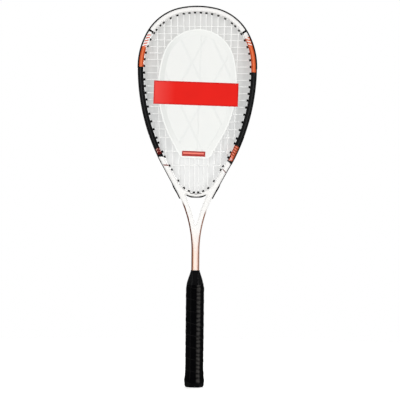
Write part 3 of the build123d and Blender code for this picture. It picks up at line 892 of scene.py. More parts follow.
def main_x_at(index, side, z):
    top, bottom = mouth_point(TOP_STATIONS[index]), bottom_mouth(index)
    share = (z - bottom[1]) / (top[1] - bottom[1])
    return side * (bottom[0] + (top[0] - bottom[0]) * share) if 0 < share < 1 else None


def waved(start, end, t):
    """From one value to another along half a wave."""
    return start + (end - start) * (1 - math.cos(math.pi * t)) / 2


def goes_behind(order, row):
    return (order + row) % 2 == 1


def main_run(index, side):
    """A main from its top mouth to its bottom mouth, woven past the crosses."""
    top, bottom = mouth_point(TOP_STATIONS[index]), bottom_mouth(index)
    knots = [(top[1], 0.0)]
    for row, z in enumerate(CROSS_Z):
        if bottom[1] + 1 < z < top[1] - 1:
            behind = goes_behind(main_order(index, side), row)
            knots.append((z, -MAIN_WAVE if behind else MAIN_WAVE))
    knots.append((bottom[1], 0.0))
    points = []
    for (z0, y0), (z1, y1) in zip(knots, knots[1:]):
        for t in np.linspace(0, 1, 5)[:-1]:
            z = z0 + (z1 - z0) * t
            y = waved(y0, y1, t)
            share = (z - bottom[1]) / (top[1] - bottom[1])
            points.append(in_space((bottom[0] + (top[0] - bottom[0]) * share, z), side, y))
    points.append(in_space(bottom, side))
    return points


def main_side(side):
    points = []
    for index, station in enumerate(TOP_STATIONS):
        run = main_run(index, side)
        if index % 2:
            points += run[::-1]
            points += tube_loop(station, TOP_STATIONS[index + 1], side, -LOOP_BOW, SIDE_STATIONS)
            continue
        points += run
        if index + 1 == len(TOP_STATIONS):
            points.append(in_space(edge(bottom_station(index), 0.5)[0], side))
        elif index < BRIDGE_MAINS:
            points += bridge_loop(side)
        else:
            points += tube_loop(bottom_station(index), bottom_station(index + 1), side, -LOOP_BOW,
                                SIDE_STATIONS)
    return points


def main_soup():
    right, left = main_side(1), main_side(-1)
    crown = [in_space(edge(TOP_STATIONS[0] * t, -LOOP_OUT)[0], s)
             for s, t in ((-1, 1.0), (-1, 0.5), (1, 0.0), (1, 0.5), (1, 1.0))]
    soup = Soup()
    tube(soup, rounded_path(left[::-1] + crown + right), STRING_R)
    return soup


def cross_run(row):
    mains = []
    for side in (-1, 1):
        for index in range(len(MAIN_TOP_X)):
            x = main_x_at(index, side, CROSS_Z[row])
            if x is not None:
                mains.append((x, main_order(index, side)))
    mouth = mouth_point(SIDE_STATIONS[row])
    knots = [(-mouth[0], 0.0)]
    knots += [(x, CROSS_WAVE if goes_behind(order, row) else -CROSS_WAVE) for x, order in sorted(mains)]
    knots.append((mouth[0], 0.0))
    points = []
    for (x0, y0), (x1, y1) in zip(knots, knots[1:]):
        for t in np.linspace(0, 1, 6)[:-1]:
            points.append(np.array([x0 + (x1 - x0) * t, waved(y0, y1, t), mouth[1]]))
    points.append(in_space(mouth, 1))
    return points


def cross_soup():
    mains = TOP_STATIONS + LEG_STATIONS
    points = [in_space(edge(SIDE_STATIONS[0], 0.5)[0], -1)]
    for row in range(len(CROSS_Z)):
        side = -1 if row % 2 else 1
        points += cross_run(row)[::side]
        if row + 1 < len(CROSS_Z):
            points += tube_loop(SIDE_STATIONS[row], SIDE_STATIONS[row + 1], side, LOOP_BOW, mains)
    points.append(in_space(edge(SIDE_STATIONS[-1], 0.5)[0], side))
    soup = Soup()
    tube(soup, rounded_path(points), STRING_R)
    return soup


def knot_soup():
    """Tie-off knots: two turns round the main and a trimmed tail."""
    soup = Soup()
    last = len(MAIN_TOP_X) - 2
    near_top = mouth_point(TOP_STATIONS[last - 1])[1] - 3.0
    near_foot = bottom_mouth(last)[1] + 3.0
    near_end = bottom_mouth(last - 1)[1] + 3.0
    for index, side, z in ((last - 1, -1, near_top), (last, -1, near_foot), (last, 1, near_foot),
                           (last - 1, 1, near_end)):
        x = main_x_at(index, side, z)
        turns = []
        for t in np.linspace(0, 1, 34):
            a = 2 * math.pi * 2.15 * t
            r = 0.95 + 0.04 * math.sin(3 * a)
            turns.append((x + r * math.cos(a), r * math.sin(a), z - 1.15 + 2.3 * t))
        turns.append((x + 1.25 * side, -0.7, z + 0.5))
        tube(soup, turns, 0.52, sides=7)
    return soup


# ---------------------------------------------------------------- handle

WRAP_LOW, WRAP_HIGH = node_mm("grip_wrap")
TAPE_LOW, TAPE_HIGH = node_mm("finishing_tape")
COLLAR_LOW, COLLAR_HIGH = node_mm("grip_collar")
CAP_LOW, CAP_HIGH = node_mm("butt_cap")
CORE_WIDTH, CORE_DEPTH, CORE_CORNER = 28.0, 23.5, 0.3
CAP_FLARE, FLANGE_Z = 3.2, 8.0
BADGE_SEAT = (19.0, 16.5)
CONE_TOP = node_mm("handle_core_front")[1][2]
CONE_FOOT = CONE_TOP - 21.0
CONE_SIZE = (17.2, 20.4)
WRAP_PITCH, WRAP_GROWTH, WRAP_CORNER = 21.4, 2.2, 6.6
TAPE_CORNER = 4.4
CAP_CORNER = 4.6


def core_size(z):
    if z <= CAP_HIGH[2]:
        share = (CAP_HIGH[2] - z) / (CAP_HIGH[2] - FLANGE_Z)
        return CORE_WIDTH + CAP_FLARE * share, CORE_DEPTH + CAP_FLARE * share
    share = min(max(z - CONE_FOOT, 0) / (CONE_TOP - CONE_FOOT), 1)
    return CORE_WIDTH + (CONE_SIZE[0] - CORE_WIDTH) * share, CORE_DEPTH + (CONE_SIZE[1] - CORE_DEPTH) * share


def handle_ring(width, depth, grow, corner, cut=None, side_points=5, arc_points=5):
    """Plan points and outward normals round a handle section with its corners rounded."""
    x, y = width / 2 + grow, depth / 2 + grow
    cut = 2 * CORE_CORNER * y if cut is None else cut
    quarter = [(x, y - cut), (x - cut, y)]
    half = quarter + [(-a, b) for a, b in quarter[::-1]]
    polygon = [np.array(p) for p in half + [(-a, -b) for a, b in half]]
    reach = corner * math.tan(math.radians(22.5))
    out = []
    for i, p in enumerate(polygon):
        before, after = polygon[i - 1], polygon[(i + 1) % len(polygon)]
        u, v = unit_rows(np.array([before - p, after - p]))
        a, b, following = p + u * reach, p + v * reach, after - v * reach
        out += [rounded(a, p, b, t) for t in np.linspace(0, 1, arc_points)]
        out += [b + (following - b) * t for t in np.linspace(0, 1, side_points + 2)[1:-1]]
    out = np.array(out)
    lengths = np.linalg.norm(np.roll(out, -1, 0) - out, axis=1)
    share = np.concatenate([[0], np.cumsum(lengths)[:-1]]) / lengths.sum()
    return out, square_to(out), share


def wrap_relief(z, share):
    """How far the wrap stands out: each turn's edge lies over the turn below it."""
    wobble = 0.012 * np.sin(2 * np.pi * share * 3 + z * 0.11)
    wobble += 0.008 * np.sin(2 * np.pi * share * 7 + z * 0.23)
    turn = z / WRAP_PITCH + share + wobble
    e = turn - np.floor(turn)
    step = smooth(e / 0.035) * (1 - smooth((e - 0.2) / 0.22))
    crease = np.exp(-((e - 0.985) / 0.018) ** 2)
    swell = 0.12 * np.sin(np.pi * smooth((e - 0.3) / 0.7))
    return 0.34 * step - 0.22 * crease + swell, e


def at_height(points, z):
    return [(p[0], p[1], z) for p in points]


def wrap_soup():
    """Sleeve of overlapping turns; its lower end turns in to the core."""
    low, high = WRAP_LOW[2], WRAP_HIGH[2]
    inner, _, share = handle_ring(*core_size(low), 0.3, 4.0, side_points=7, arc_points=9)
    rings, tags = [at_height(inner, low + 0.02)], [(s, 0, 0) for s in share]
    for z in [low + 0.02, low + 0.25, *np.arange(low + 0.8, high - 0.3, 0.62), high]:
        flat, normal, share = handle_ring(*core_size(z), WRAP_GROWTH, WRAP_CORNER, side_points=7, arc_points=9)
        relief, e = wrap_relief(z, share)
        fade = smooth((z - low) / 3.0)
        end = -0.5 * (1 - smooth((z - low) / 0.9))
        foot = 0.35 * math.exp(-((z - 13.0) / 4.5) ** 2)
        points = flat + normal * (relief * fade + 0.1 * (1 - fade) + end + foot)[:, None]
        points[:, 1] = np.clip(points[:, 1], WRAP_LOW[1], WRAP_HIGH[1])
        rings.append(at_height(points, z))
        tags += [(s, z / WRAP_PITCH + s, ee) for s, ee in zip(share, e)]
    return lofted(rings, tags)


def tape_soup():
    """Thin tape over the wrap's upper edge, with a slightly wavy surface and a lapped end."""
    low, high = TAPE_LOW[2], TAPE_HIGH[2]
    rings, tags = [], []
    for z in [low, low + 0.15, *np.arange(low + 0.6, high, 0.5), high]:
        over = WRAP_GROWTH + 0.5 - 1.85 * smooth((z - WRAP_HIGH[2] - 1.6) / 2.0)
        flat, normal, share = handle_ring(*core_size(z), 0, TAPE_CORNER, side_points=7, arc_points=7)
        grow = over + 0.09 * np.sin(2 * np.pi * share * 5 + z * 1.7) * smooth((z - low) / 2)
        lap = 0.22 * (1 - smooth((share - 0.60) / 0.012)) * smooth((share - 0.1) / 0.02)
        points = flat + normal * ((grow if rings else grow - 0.9) + lap)[:, None]
        rings.append([(p[0], p[1], z + 0.35 * math.sin(6.28 * s)) for p, s in zip(points, share)])
        tags += [(s, z, 0) for s in share]
    return lofted(rings, tags)


def collar_soup():
    """Rubber collar that tapers in to the shaft, with a rolled lip at each end."""
    low, high = COLLAR_LOW[2], COLLAR_HIGH[2]
    shoulder = high - 6.0
    profile = [(low, -1.4), (low, -0.15), (low + 0.25, 0.0), (low + 0.9, 0.12), (low + 1.6, 0.0)]
    profile += [(z, 0.0) for z in np.linspace(low + 2.4, high - 1.6, 16)]
    profile += [(high - 1.1, 0.16), (high - 0.5, 0.2), (high - 0.1, 0.05), (high, -0.3), (high, -1.2)]
    half_x, half_y = [size / 2 + 2.7 for size in core_size(low)]
    # half width, half depth and corner cut: at the foot, at the shoulder and at the top
    start = np.array([half_x, half_y, 2 * CORE_CORNER * half_y])
    end = np.array([SHAFT_HALF + 2.2, HALF_DEPTH + 2.2, 4.2])
    top = np.array([SHAFT_HALF + 0.8, HALF_DEPTH + 0.8, 3.65])
    rings = []
    for z, extra in profile:
        ease = min(max((z - low) / (shoulder - low), 0), 1) ** 1.12
        x, y, cut = start + (end - start) * ease
        if z > shoulder:
            x, y, cut = end + (top - end) * smooth((z - shoulder) / 5.0)
        flat, normal, _ = handle_ring(2 * x, 2 * y, 0, 3.2 - 0.9 * ease, cut=cut)
        rings.append(at_height(flat + normal * extra, z))
    return lofted(rings)


def cap_soup():
    """Butt cap: a flared end with rounded edges and a shallow blank badge seat underneath."""
    width, depth = CAP_HIGH[0] - CAP_LOW[0], CAP_HIGH[1] - CAP_LOW[1]
    rings = []

    def ring(size, grow, corner, z):
        rings.append(at_height(handle_ring(*size, grow, corner)[0], z))

    for grow, z in ((-5.0, 0.5), (-2.0, 0.5), (-0.15, 0.5), (0.0, 0.42), (0.0, 0.12), (0.14, 0.0)):
        ring(BADGE_SEAT, grow, 1.0, z)
    seat, rim = np.array(rings[-1]), np.array(at_height(handle_ring(width, depth, -4.7, 3.0)[0], 0.0))
    rings += [seat + (rim - seat) * t for t in (0.25, 0.55, 0.85)]
    for a in np.linspace(0, math.pi / 2, 8):
        ring((width, depth), -4.2 * (1 - math.sin(a)), CAP_CORNER, 5.6 * (1 - math.cos(a)))
    for z, grow in ((6.2, 0.0), (7.4, -0.03), (7.8, -0.18), (7.96, -0.5), (8.0, -1.2), (8.0, -2.2)):
        ring((width, depth), grow, CAP_CORNER, z)
    return lofted(rings, first=True)


# ---------------------------------------------------------------- display card

CARD_LOW, CARD_HIGH = node_mm("insert_card")
BANNER_LOW, BANNER_HIGH = node_mm("card_banner")
CARD_TILT = math.radians(-1.5)
BUMPER_TOP = node_mm("bumper_guard")[1][2]
CARD_TOP, CARD_BOTTOM = BUMPER_TOP - 42.0, BUMPER_TOP - 274.0
CARD_TOP_R, CARD_SIDE_R, CARD_CORNER_R = 66.0, 200.0, 12.0
BANNER_Z, BANNER_X = BUMPER_TOP - 158.0, -2.0
BANNER_SIZE = (152.0, 42.0)


def card_outline(count=220):
    """The drop from arcs, as a closed even run of points."""
    centre = np.array([0.0, CARD_TOP - CARD_TOP_R])
    half = [centre + outward(h) * CARD_TOP_R for h in np.linspace(0, 75, 60)]
    centre = centre + outward(75) * (CARD_TOP_R - CARD_SIDE_R)
    half += [centre + outward(h) * CARD_SIDE_R for h in np.linspace(75, 120, 90)[1:]]
    down = np.array([outward(120)[1], -outward(120)[0]])
    corner = half[-1] + down * ((half[-1][1] - CARD_BOTTOM) / -down[1])
    reach = CARD_CORNER_R * math.tan(math.radians(30))
    a, b = corner - down * reach, corner - np.array([reach, 0.0])
    half = np.array(half + [rounded(a, corner, b, t) for t in np.linspace(0, 1, 14)])
    whole = np.concatenate([half, half[::-1] * np.array([-1.0, 1.0])])
    closed = np.vstack([whole, whole[:1]])
    run = np.concatenate([[0], np.cumsum(np.linalg.norm(np.diff(closed, axis=0), axis=1))])
    places = np.linspace(0, run[-1], count, endpoint=False)
    return np.stack([np.interp(places, run, closed[:, k]) for k in (0, 1)], 1)


def card_place(x, y, z):
    """Turns a card point about the banner's height, as the card hangs slightly askew."""
    c, s = math.cos(CARD_TILT), math.sin(CARD_TILT)
    dz = z - BANNER_Z
    return (x * c - dz * s, y, BANNER_Z + x * s + dz * c)


def card_soup():
    """Board with a raised border inside its rim; the tag holds the distance from the edge."""
    outline = card_outline()
    inward = square_to(outline)
    if ((outline + inward - outline.mean(0)) ** 2).sum() > ((outline - outline.mean(0)) ** 2).sum():
        inward = -inward
    for _ in range(6):
        inward = unit_rows(np.roll(inward, 1, 0) + inward + np.roll(inward, -1, 0))
    back, front = CARD_HIGH[1], CARD_LOW[1] + 0.02
    rings, tags = [], []

    def ring(points, y, tag):
        rings.append([card_place(p[0], y, p[1]) for p in points])
        tags.extend([(tag, 0, 0)] * len(points))

    ring(outline + inward * 0.2, back, -1)
    ring(outline, back - 0.1, -1)
    for inset, rise in ((0.0, 0.22), (0.08, 0.06), (0.3, 0.0), (1.5, 0.0), (2.0, 0.1), (2.6, 0.34), (3.4, 0.42),
                        (6.0, 0.42), (9.0, 0.4), (9.8, 0.3), (10.6, 0.06), (11.2, 0.02), (13.0, 0.02)):
        ring(outline + inward * inset, front + rise, inset)
    last = outline + inward * 13.0
    centre = last.mean(0)
    for share in (0.85, 0.7, 0.55, 0.4, 0.25, 0.1):
        ring(centre + (last - centre) * share, front + 0.02, 20.0)
    return lofted(rings, tags, first=True, last=True)


def banner_soup():
    """Laminated strip with rounded edges, flat on the card."""
    w, h = BANNER_SIZE
    front, back = BANNER_LOW[1], BANNER_HIGH[1]
    across, up = np.arange(60) / 60, np.arange(16) / 16
    rings, tags = [], []
    for inset, y in ((0.3, back), (0.05, back - 0.08), (0.0, (front + back) / 2), (0.05, front + 0.08),
                     (0.25, front + 0.01), (0.6, front)):
        x, z = w / 2 - inset, h / 2 - inset
        boundary = [(-x + 2 * x * t, -z) for t in across] + [(x, -z + 2 * z * t) for t in up]
        boundary += [(-a, -b) for a, b in boundary]
        rings.append([card_place(a + BANNER_X, y, b + BANNER_Z) for a, b in boundary])
        tags += [(a / w + 0.5, b / h + 0.5, inset) for a, b in boundary]
    return lofted(rings, tags, first=True, last=True)


# ---------------------------------------------------------------- materials

# the grey and the light orange are painted highlight colours, the dark orange is a painted shade colour
WHITE, BLACK, BLACK_HIGHLIGHT = (247, 246, 244), (4, 4, 5), (44, 44, 45)
ORANGE, ORANGE_HIGHLIGHT, ORANGE_SHADE = (205, 84, 42), (230, 118, 76), (148, 60, 32)
RAMP_RUN = 600.0         # run along the tube that the colour ramp of the blocks covers


def band_mask(value, low, high, soft):
    """1 between two limits, with soft edges."""
    up = clamped((value - (low - soft / 2)) / soft)
    down = clamped((high + soft / 2 - value) / soft)
    return up * down


def weathered(n, base, blend):
    """Paint with a faint cloud and dust-fine specks."""
    base = n.stain(base, (226, 225, 221), n.noise(38.0), 0.45, 0.16, blend)
    speck = n.noise(2600.0, 2.0) > 0.735
    return n.mix(speck * 0.12, base, (150, 147, 143), blend)


def gloss(n, base):
    """Gloss paint's surface: scuffed in places, with a slight orange peel."""
    rough = n.blend(clamped((n.noise(420.0, 5.0, 0.7) - 0.42) * 2.2), 0.24, 0.4)
    peel = n.bump(n.noise(900.0, 2.0), 0.00006, 0.35)
    return n.finish(Base_Color=base, Roughness=rough, Normal=peel, Coat_Weight=0.02, Coat_Roughness=0.1,
                    Specular_IOR_Level=0.03)


def paint_material():
    """Gloss paint with the racket's colour blocks, placed by height and by run along the tube."""
    n = Nodes("frame_paint")
    run, across, inset = n.lane()
    x, _, z = n.split(n.place())
    zmm = z * TO_MM
    share = run / RAMP_RUN

    def blocks(*starts):
        """Colour blocks of a side, each from a height of the tube's middle line downwards."""
        stops = [(0, WHITE)] + [(run_at(z) / RAMP_RUN, shade) for z, shade in starts]
        return n.ramp(share, stops, "CONSTANT")

    left_base = blocks((610, ORANGE), (574, BLACK), (405, WHITE))
    right_base = blocks((628, ORANGE), (566, BLACK), (433, ORANGE), (407.5, WHITE))
    left_base = n.mix(zmm < 413.0, left_base, WHITE)
    # painted highlight as a lighter band along the middle of the coloured blocks, painted shade as a darker inner
    # edge on the orange ones, and a grey painted highlight band on the black ones
    middle = band_mask(across, 0.36, 0.66, 0.12)
    inner = clamped((across - 0.74) * 6.0)
    orange_lit_and_shaded = n.mix(middle, ORANGE, ORANGE_HIGHLIGHT)
    orange_lit_and_shaded = n.mix(inner * 0.6, orange_lit_and_shaded, ORANGE_SHADE)
    black_with_highlight = n.mix(band_mask(across, 0.33, 0.5, 0.14), BLACK, BLACK_HIGHLIGHT)

    def stretch(first, last):
        return (run > first) * (run < last)

    def zone(high_z, low_z):
        """1 between two heights of the tube's middle line."""
        return stretch(run_at(high_z), run_at(low_z))

    def spot(at_run, length, at_across, width):
        """Soft oval with its centre at a run and a share of the width."""
        a = (run - at_run) / length
        b = (across - at_across) / width
        square = a * a + b * b
        return clamped((1.0 - square) * 2.5)

    left = n.mix(zone(610, 574), left_base, orange_lit_and_shaded)
    left = n.mix(zone(574, 408) * (zmm > 413.0), left, black_with_highlight)
    right = n.mix(zone(628, 566), right_base, orange_lit_and_shaded)
    salmon = n.mix(band_mask(across, 0.28, 0.78, 0.25), (178, 74, 40), (228, 126, 104))
    right = n.mix(zone(433, 407.5), right, salmon)
    right = n.mix(zone(566, 433), right, black_with_highlight)
    # slanted strokes beside the blocks
    stroke = n.fract(run / 5.6 + across * 1.1) < 0.46
    inside = band_mask(across, 0.2, 0.86, 0.04)
    left = n.mix(stroke * inside * zone(633, 610), left, (222, 96, 70))
    right = n.mix(stroke * inside * zone(632, 613), right, (240, 226, 218))
    fine = n.fract(run / 4.6 + across * 0.5) < 0.4
    right = n.mix(fine * band_mask(across, 0.1, 0.95, 0.1) * zone(434, 416), right, (118, 46, 18))
    right = n.mix((across > 0.72) * zone(415, 407.5), right, (52, 14, 8))
    right = n.mix(spot(run_at(410.2), 2.6, 0.45, 0.24) * 0.9, right, (226, 176, 170))
    # black hook that closes the block: its inner end curls up the tube
    hook_run = run - (1.0 - across) ** 2.0 * 2.2
    hook = band_mask(hook_run, run_at(406.9), run_at(404.4), 0.4)
    right = n.mix(hook, right, (12, 13, 12))
    outer_fill = (across < 0.6) * ((run > run_at(407.5)) * (hook_run < run_at(405.5)))
    right = n.mix(outer_fill, right, (44, 40, 38))
    # small marks on the legs
    mark = band_mask(zmm, 397.0, 399.2, 0.4) * band_mask(across, 0.12, 1.2, 0.05)
    left = n.mix(mark, left, (132, 66, 60))
    lean = run + (across - 0.5) * 3.6
    at = run_at(388.9)
    mark = band_mask(lean, at - 0.9, at + 0.9, 0.5) * band_mask(across, 0.02, 0.9, 0.06)
    right = n.mix(mark, right, (130, 95, 95))
    # small printed patch: salmon strokes round a dark red dot
    patch = zone(428, 417.5) * band_mask(across, 0.08, 0.92, 0.12)
    left = n.mix(patch * (zmm > 415.5), left, (84, 18, 14))
    strokes = n.fract(run / 4.4 + across * 1.3) < 0.38
    left = n.mix(patch * strokes * zone(428, 421), left, (204, 152, 142))
    left = n.mix(spot(run_at(423.6), 1.9, 0.6, 0.2), left, (96, 4, 4))
    # shaft stripes along both edges, from under the throat to the handle
    depth = (inset + 1.0) / 8.2
    stripe = n.ramp(depth, [(0.0, (108, 66, 46)), (0.2, (90, 50, 32)), (0.38, (112, 64, 42)),
                            (0.54, (222, 172, 146)), (0.66, (250, 226, 210)), (0.95, (250, 236, 226))])
    pale_stripe = n.ramp(depth, [(0.0, (166, 132, 118)), (0.3, (150, 112, 96)), (0.46, (176, 136, 118)),
                                 (0.56, (244, 212, 198)), (0.95, (250, 236, 226))])
    upper = 1.0 - clamped((run - run_at(285)) / 45.0)

    def with_stripe(under, shade, start):
        """Adds the stripe below a height: on plain white at first, on a peach fade further down."""
        shade = n.mix(upper * (inset > 2.5), shade, WHITE)
        return n.mix(clamped((run - run_at(start)) / 9.0), under, shade)

    left = with_stripe(left, stripe, 336)
    right = with_stripe(right, pale_stripe, 321)
    base = n.mix(x > 0.0, left, right)
    # black joint lines where the blocks start
    top_line = run_at(638)
    tick = stretch(top_line - 1.8, top_line + 1.8) * (across < 0.97)
    barb = stretch(top_line - 1.5, top_line + 3.4) * band_mask(across, 0.8, 0.97, 0.04)
    base = n.mix(n.highest(tick, barb), base, (5, 4, 5))
    return gloss(n, weathered(n, base, "MULTIPLY"))


def bridge_material():
    n = Nodes("bridge_paint")
    base = weathered(n, WHITE, "MIX")
    # painted shadow: a dark line below the barrels, in shallow scallops from one to the next
    x, _, z = n.split(n.place())
    xmm = x * TO_MM
    drop = z * TO_MM - BRIDGE_Z
    radius = n.root(xmm * xmm + drop * drop)
    sag = n.sine((xmm + 2.1) * (2 * math.pi / 8.4)) * 0.45
    barrel_shadow_line = band_mask(radius - sag, BRIDGE_R + 0.7, BRIDGE_R + 2.1, 0.8)
    barrel_shadow_line = barrel_shadow_line * band_mask(xmm, -11.5, 9.5, 2.0)
    base = n.mix(barrel_shadow_line * 0.85, base, (66, 66, 66))
    return gloss(n, base)


def plastic_material(name, painted_sheen=False):
    """Black moulded nylon: fine grain, lighter in random patches, and where asked a painted highlight along the
    strip's middle.
    """
    n = Nodes(name)
    rub = n.noise(160.0, 4.0, 0.65)
    base = n.ramp(rub, [(0.3, (5, 5, 6)), (0.62, (8, 8, 9)), (0.78, (22, 22, 23))])
    if painted_sheen:
        # painted highlight: the bridge strip lighter grey along its middle
        lane = n.lane()
        middle = clamped(1.35 - abs(lane[0]) / 5.5)
        base = n.mix(middle * lane[1] * 0.8, base, (112, 112, 112))
    rough = n.blend(clamped(rub * 1.2), 0.38, 0.6)
    grain = n.bump(n.noise(3800.0, 2.0), 0.00004, 0.5)
    return n.finish(Base_Color=base, Roughness=rough, Normal=grain, Specular_IOR_Level=0.03)


def string_material(name, twist):
    """Pale synthetic string with its spiral outer wraps under a clear coating."""
    n = Nodes(name)
    lane = n.lane()
    wave = n.sine((lane[0] / twist + lane[1]) * (2 * math.pi))
    shade = wave * 0.5 + 0.5
    cloud = n.noise(210.0, 2.0)
    base = n.mix(shade * 0.2, (253, 253, 251), (234, 236, 234))
    base = n.stain(base, (226, 226, 220), cloud, 0.55, 1.0)
    rough = n.blend(cloud, 0.26, 0.46)
    ribs = n.bump(shade, 0.00003, 0.6)
    return n.finish(Base_Color=base, Roughness=rough, Normal=ribs, Coat_Weight=0.25, Coat_Roughness=0.2)


def wrap_material():
    """Black cushioned grip: leather-like grain stretched along the turns, with wear and painted highlights on the
    turns' raised edges, painted highlights on the ridges (strongest on the right side) and in short dashes beside
    the right ridge, and painted shade in the creases.
    """
    n = Nodes("wrap")
    lane = n.lane()
    grain = n.noise(1500.0, 3.0, 0.6)
    pores = n.noise(5200.0, 1.0)
    along = n.made(0, "ShaderNodeCombineXYZ", {0: lane[0] * 9.0, 1: lane[1] * 46.0})
    stretch = n.noise(1.0, 4.0, 0.6, along)
    wear_and_sheen_cloud = n.noise(55.0, 3.0)
    base = n.ramp(stretch * 0.5 + grain * 0.5,
                  [(0.3, (1, 1, 2)), (0.55, (3, 3, 4)), (0.75, (9, 9, 10))])
    # wear and painted highlight along each turn's raised edge
    edge_wear_and_highlight = band_mask(lane[2], 0.012, 0.05, 0.02)
    base = n.mix(edge_wear_and_highlight * wear_and_sheen_cloud * 0.6, base, (52, 50, 50))
    # painted highlight on the handle's ridges, mostly on the right side
    facing = n.split(n.made("Normal", "ShaderNodeTexCoord"))
    turn = n.bearing(facing[0], facing[1]) * 4.0
    ridge = abs(n.sine(turn)) ** 6.0
    painted_sheen = clamped((stretch - 0.36) * 3.0)
    x, _, z = n.split(n.place())
    right = n.highest(x > 0.0, 0.15)
    ridge = ridge * painted_sheen * right
    base = n.mix(ridge * 0.5, base, (76, 74, 74))
    # beside the right ridge, a painted highlight streak in short dashes up the handle
    height = z * (1000 * math.pi / 7.7)
    painted_streak = abs(n.sine(height + wear_and_sheen_cloud * 5.0))
    painted_streak = painted_streak * band_mask(x * 1000.0, 3.6, 9.8, 2.4)
    painted_streak = painted_streak * (painted_sheen * 0.7 + 0.3)
    base = n.mix(painted_streak * 0.9, base, (78, 76, 74))
    # painted shade in the crease where each turn tucks under the next
    crease_shade = lane[2] > 0.965
    base = n.mix(crease_shade * 0.8, base, (2, 2, 2))
    rough = n.blend(clamped(wear_and_sheen_cloud * 1.2), 0.2, 0.3)
    height = grain * 0.55 + pores * 0.2
    fine = n.bump(height, 0.00016, 0.55)
    ridges = n.bump(stretch, 0.0006, 0.5, fine)
    return n.finish(Base_Color=base, Roughness=rough, Normal=ridges, Specular_IOR_Level=0.012)


def dark_material(name, shades, rough_range, scale, grain_scale, grain_depth, specular):
    n = Nodes(name)
    cloud = n.noise(scale, 4.0, 0.6)
    base = n.ramp(cloud, [(0.32, shades[0]), (0.58, shades[1]), (0.78, shades[2])])
    rough = n.blend(cloud, *rough_range)
    grain = n.bump(n.noise(grain_scale, 3.0), grain_depth, 0.5)
    return n.finish(Base_Color=base, Roughness=rough, Normal=grain, Specular_IOR_Level=specular)


def steel_material():
    n = Nodes("staple")
    scratch = n.noise(900.0, 4.0)
    base = n.mix(scratch * 0.5, (190, 190, 192), (120, 118, 116))
    return n.finish(Base_Color=base, Roughness=n.blend(scratch, 0.25, 0.45), Metallic=1.0,
                    Normal=n.bump(scratch, 0.00002, 0.4))


def card_plane(n):
    """The card's own level coordinates in millimetres, from the banner's centre."""
    level = n.made(0, "ShaderNodeMapping", {"Location": (BANNER_X * MM, 0, BANNER_Z * MM),
                                            "Rotation": (0, -CARD_TILT, 0), "Scale": (MM, MM, MM),
                                            "Vector": n.place()}, vector_type="TEXTURE")
    x, _, z = n.split(level)
    return x, z


def box_mask(x, z, cx, cz, width, height, soft=0.3):
    across = band_mask(x, cx - width / 2, cx + width / 2, soft)
    return across * band_mask(z, cz - height / 2, cz + height / 2, soft)


def card_material():
    """Off-white board with an embossed lattice, a raised rim and a plain printed bar near its foot; the rim is
    painted lighter as a highlight, the border band darker as painted shade, mostly on the left, and the lattice
    ridges darker as painted shade.
    """
    n = Nodes("card")
    lane = n.lane()
    x, z = card_plane(n)
    rim = lane[0] < 2.3
    border = (lane[0] > 2.3) * (lane[0] < 10.6)
    # painted shade in the border band, strong on the left side and faint on the right
    leftward = clamped((-26.0 - x) / 26.0)
    rightward = clamped((x - 34.0) / 30.0)
    shade = n.highest(leftward * 0.9, rightward * 0.3)
    base = n.mix(border * shade, (239, 240, 237), (224, 226, 223))
    # painted highlight on the rim
    base = n.mix(rim, base, (247, 248, 245))
    height = None
    for slope, shift in ((0.52, 9.0), (-0.52, 9.0)):
        place = (x + z * slope + shift) / 58.0
        away = abs(n.fract(place) - 0.5)
        ridge = clamped(1.0 - away * 16.0)
        height = ridge if height is None else n.highest(height, ridge)
    middle = clamped(1.0 - abs(x - 6.0) / 2.0)
    height = n.highest(height, middle)
    field = lane[0] > 11.5
    height = height * field
    # painted shade along the embossed lattice ridges
    base = n.mix(height * 0.48, base, (226, 228, 226))
    base = n.stain(base, (228, 231, 232), n.noise(24.0), 0.4, 0.5)
    fibre = n.noise(1900.0, 4.0, 0.7)
    base = n.stain(base, (206, 206, 200), fibre, 0.5, 0.25)
    front = n.split(n.place())[1] < float(CARD_HIGH[1] - 0.2) * MM
    bar = front * box_mask(x, z, -0.3, -108.0, 42.0, 9.4)
    core = front * box_mask(x, z, -0.6, -107.2, 37.0, 2.6, 0.9)
    base = n.mix(bar, base, (166, 46, 38))
    base = n.mix(core * 0.9, base, (252, 138, 122))
    bumpy = n.bump(height, 0.0005, 0.75)
    paper = n.bump(fibre, 0.00004, 0.5, bumpy)
    return n.finish(Base_Color=base, Roughness=n.blend(fibre, 0.42, 0.6), Normal=paper, Specular_IOR_Level=0.35)


def banner_material():
    """Red laminated print, darker along its edge and paler towards its left end."""
    n = Nodes("banner")
    x, z = card_plane(n)
    w, h = BANNER_SIZE
    edge_x = w / 2 - abs(x)
    edge_z = h / 2 - abs(z)
    edge = n.lowest(edge_x, edge_z)
    paler = clamped((-38.0 - x) / 40.0)
    base = n.mix(paler * 0.75, (230, 32, 24), (238, 86, 80))
    deep = clamped(1.0 - (edge - 0.6) / 2.4)
    base = n.mix(deep * 0.75, base, (186, 22, 22))
    base = n.stain(base, (206, 24, 20), n.noise(30.0), 0.42, 0.6)
    behind = n.split(n.place())[1] > float(BANNER_HIGH[1] - 0.12) * MM
    ink = n.noise(1400.0, 3.0)
    board = n.mix(ink * 0.4, (240, 239, 234), (226, 225, 219))
    base = n.mix(behind, base, board)
    lam = n.bump(n.noise(120.0, 2.0), 0.0003, 0.15, n.bump(ink, 0.00002, 0.4))
    return n.finish(Base_Color=base, Roughness=n.blend(ink, 0.34, 0.46), Normal=lam, Specular_IOR_Level=0.12)


# ---------------------------------------------------------------- pieces

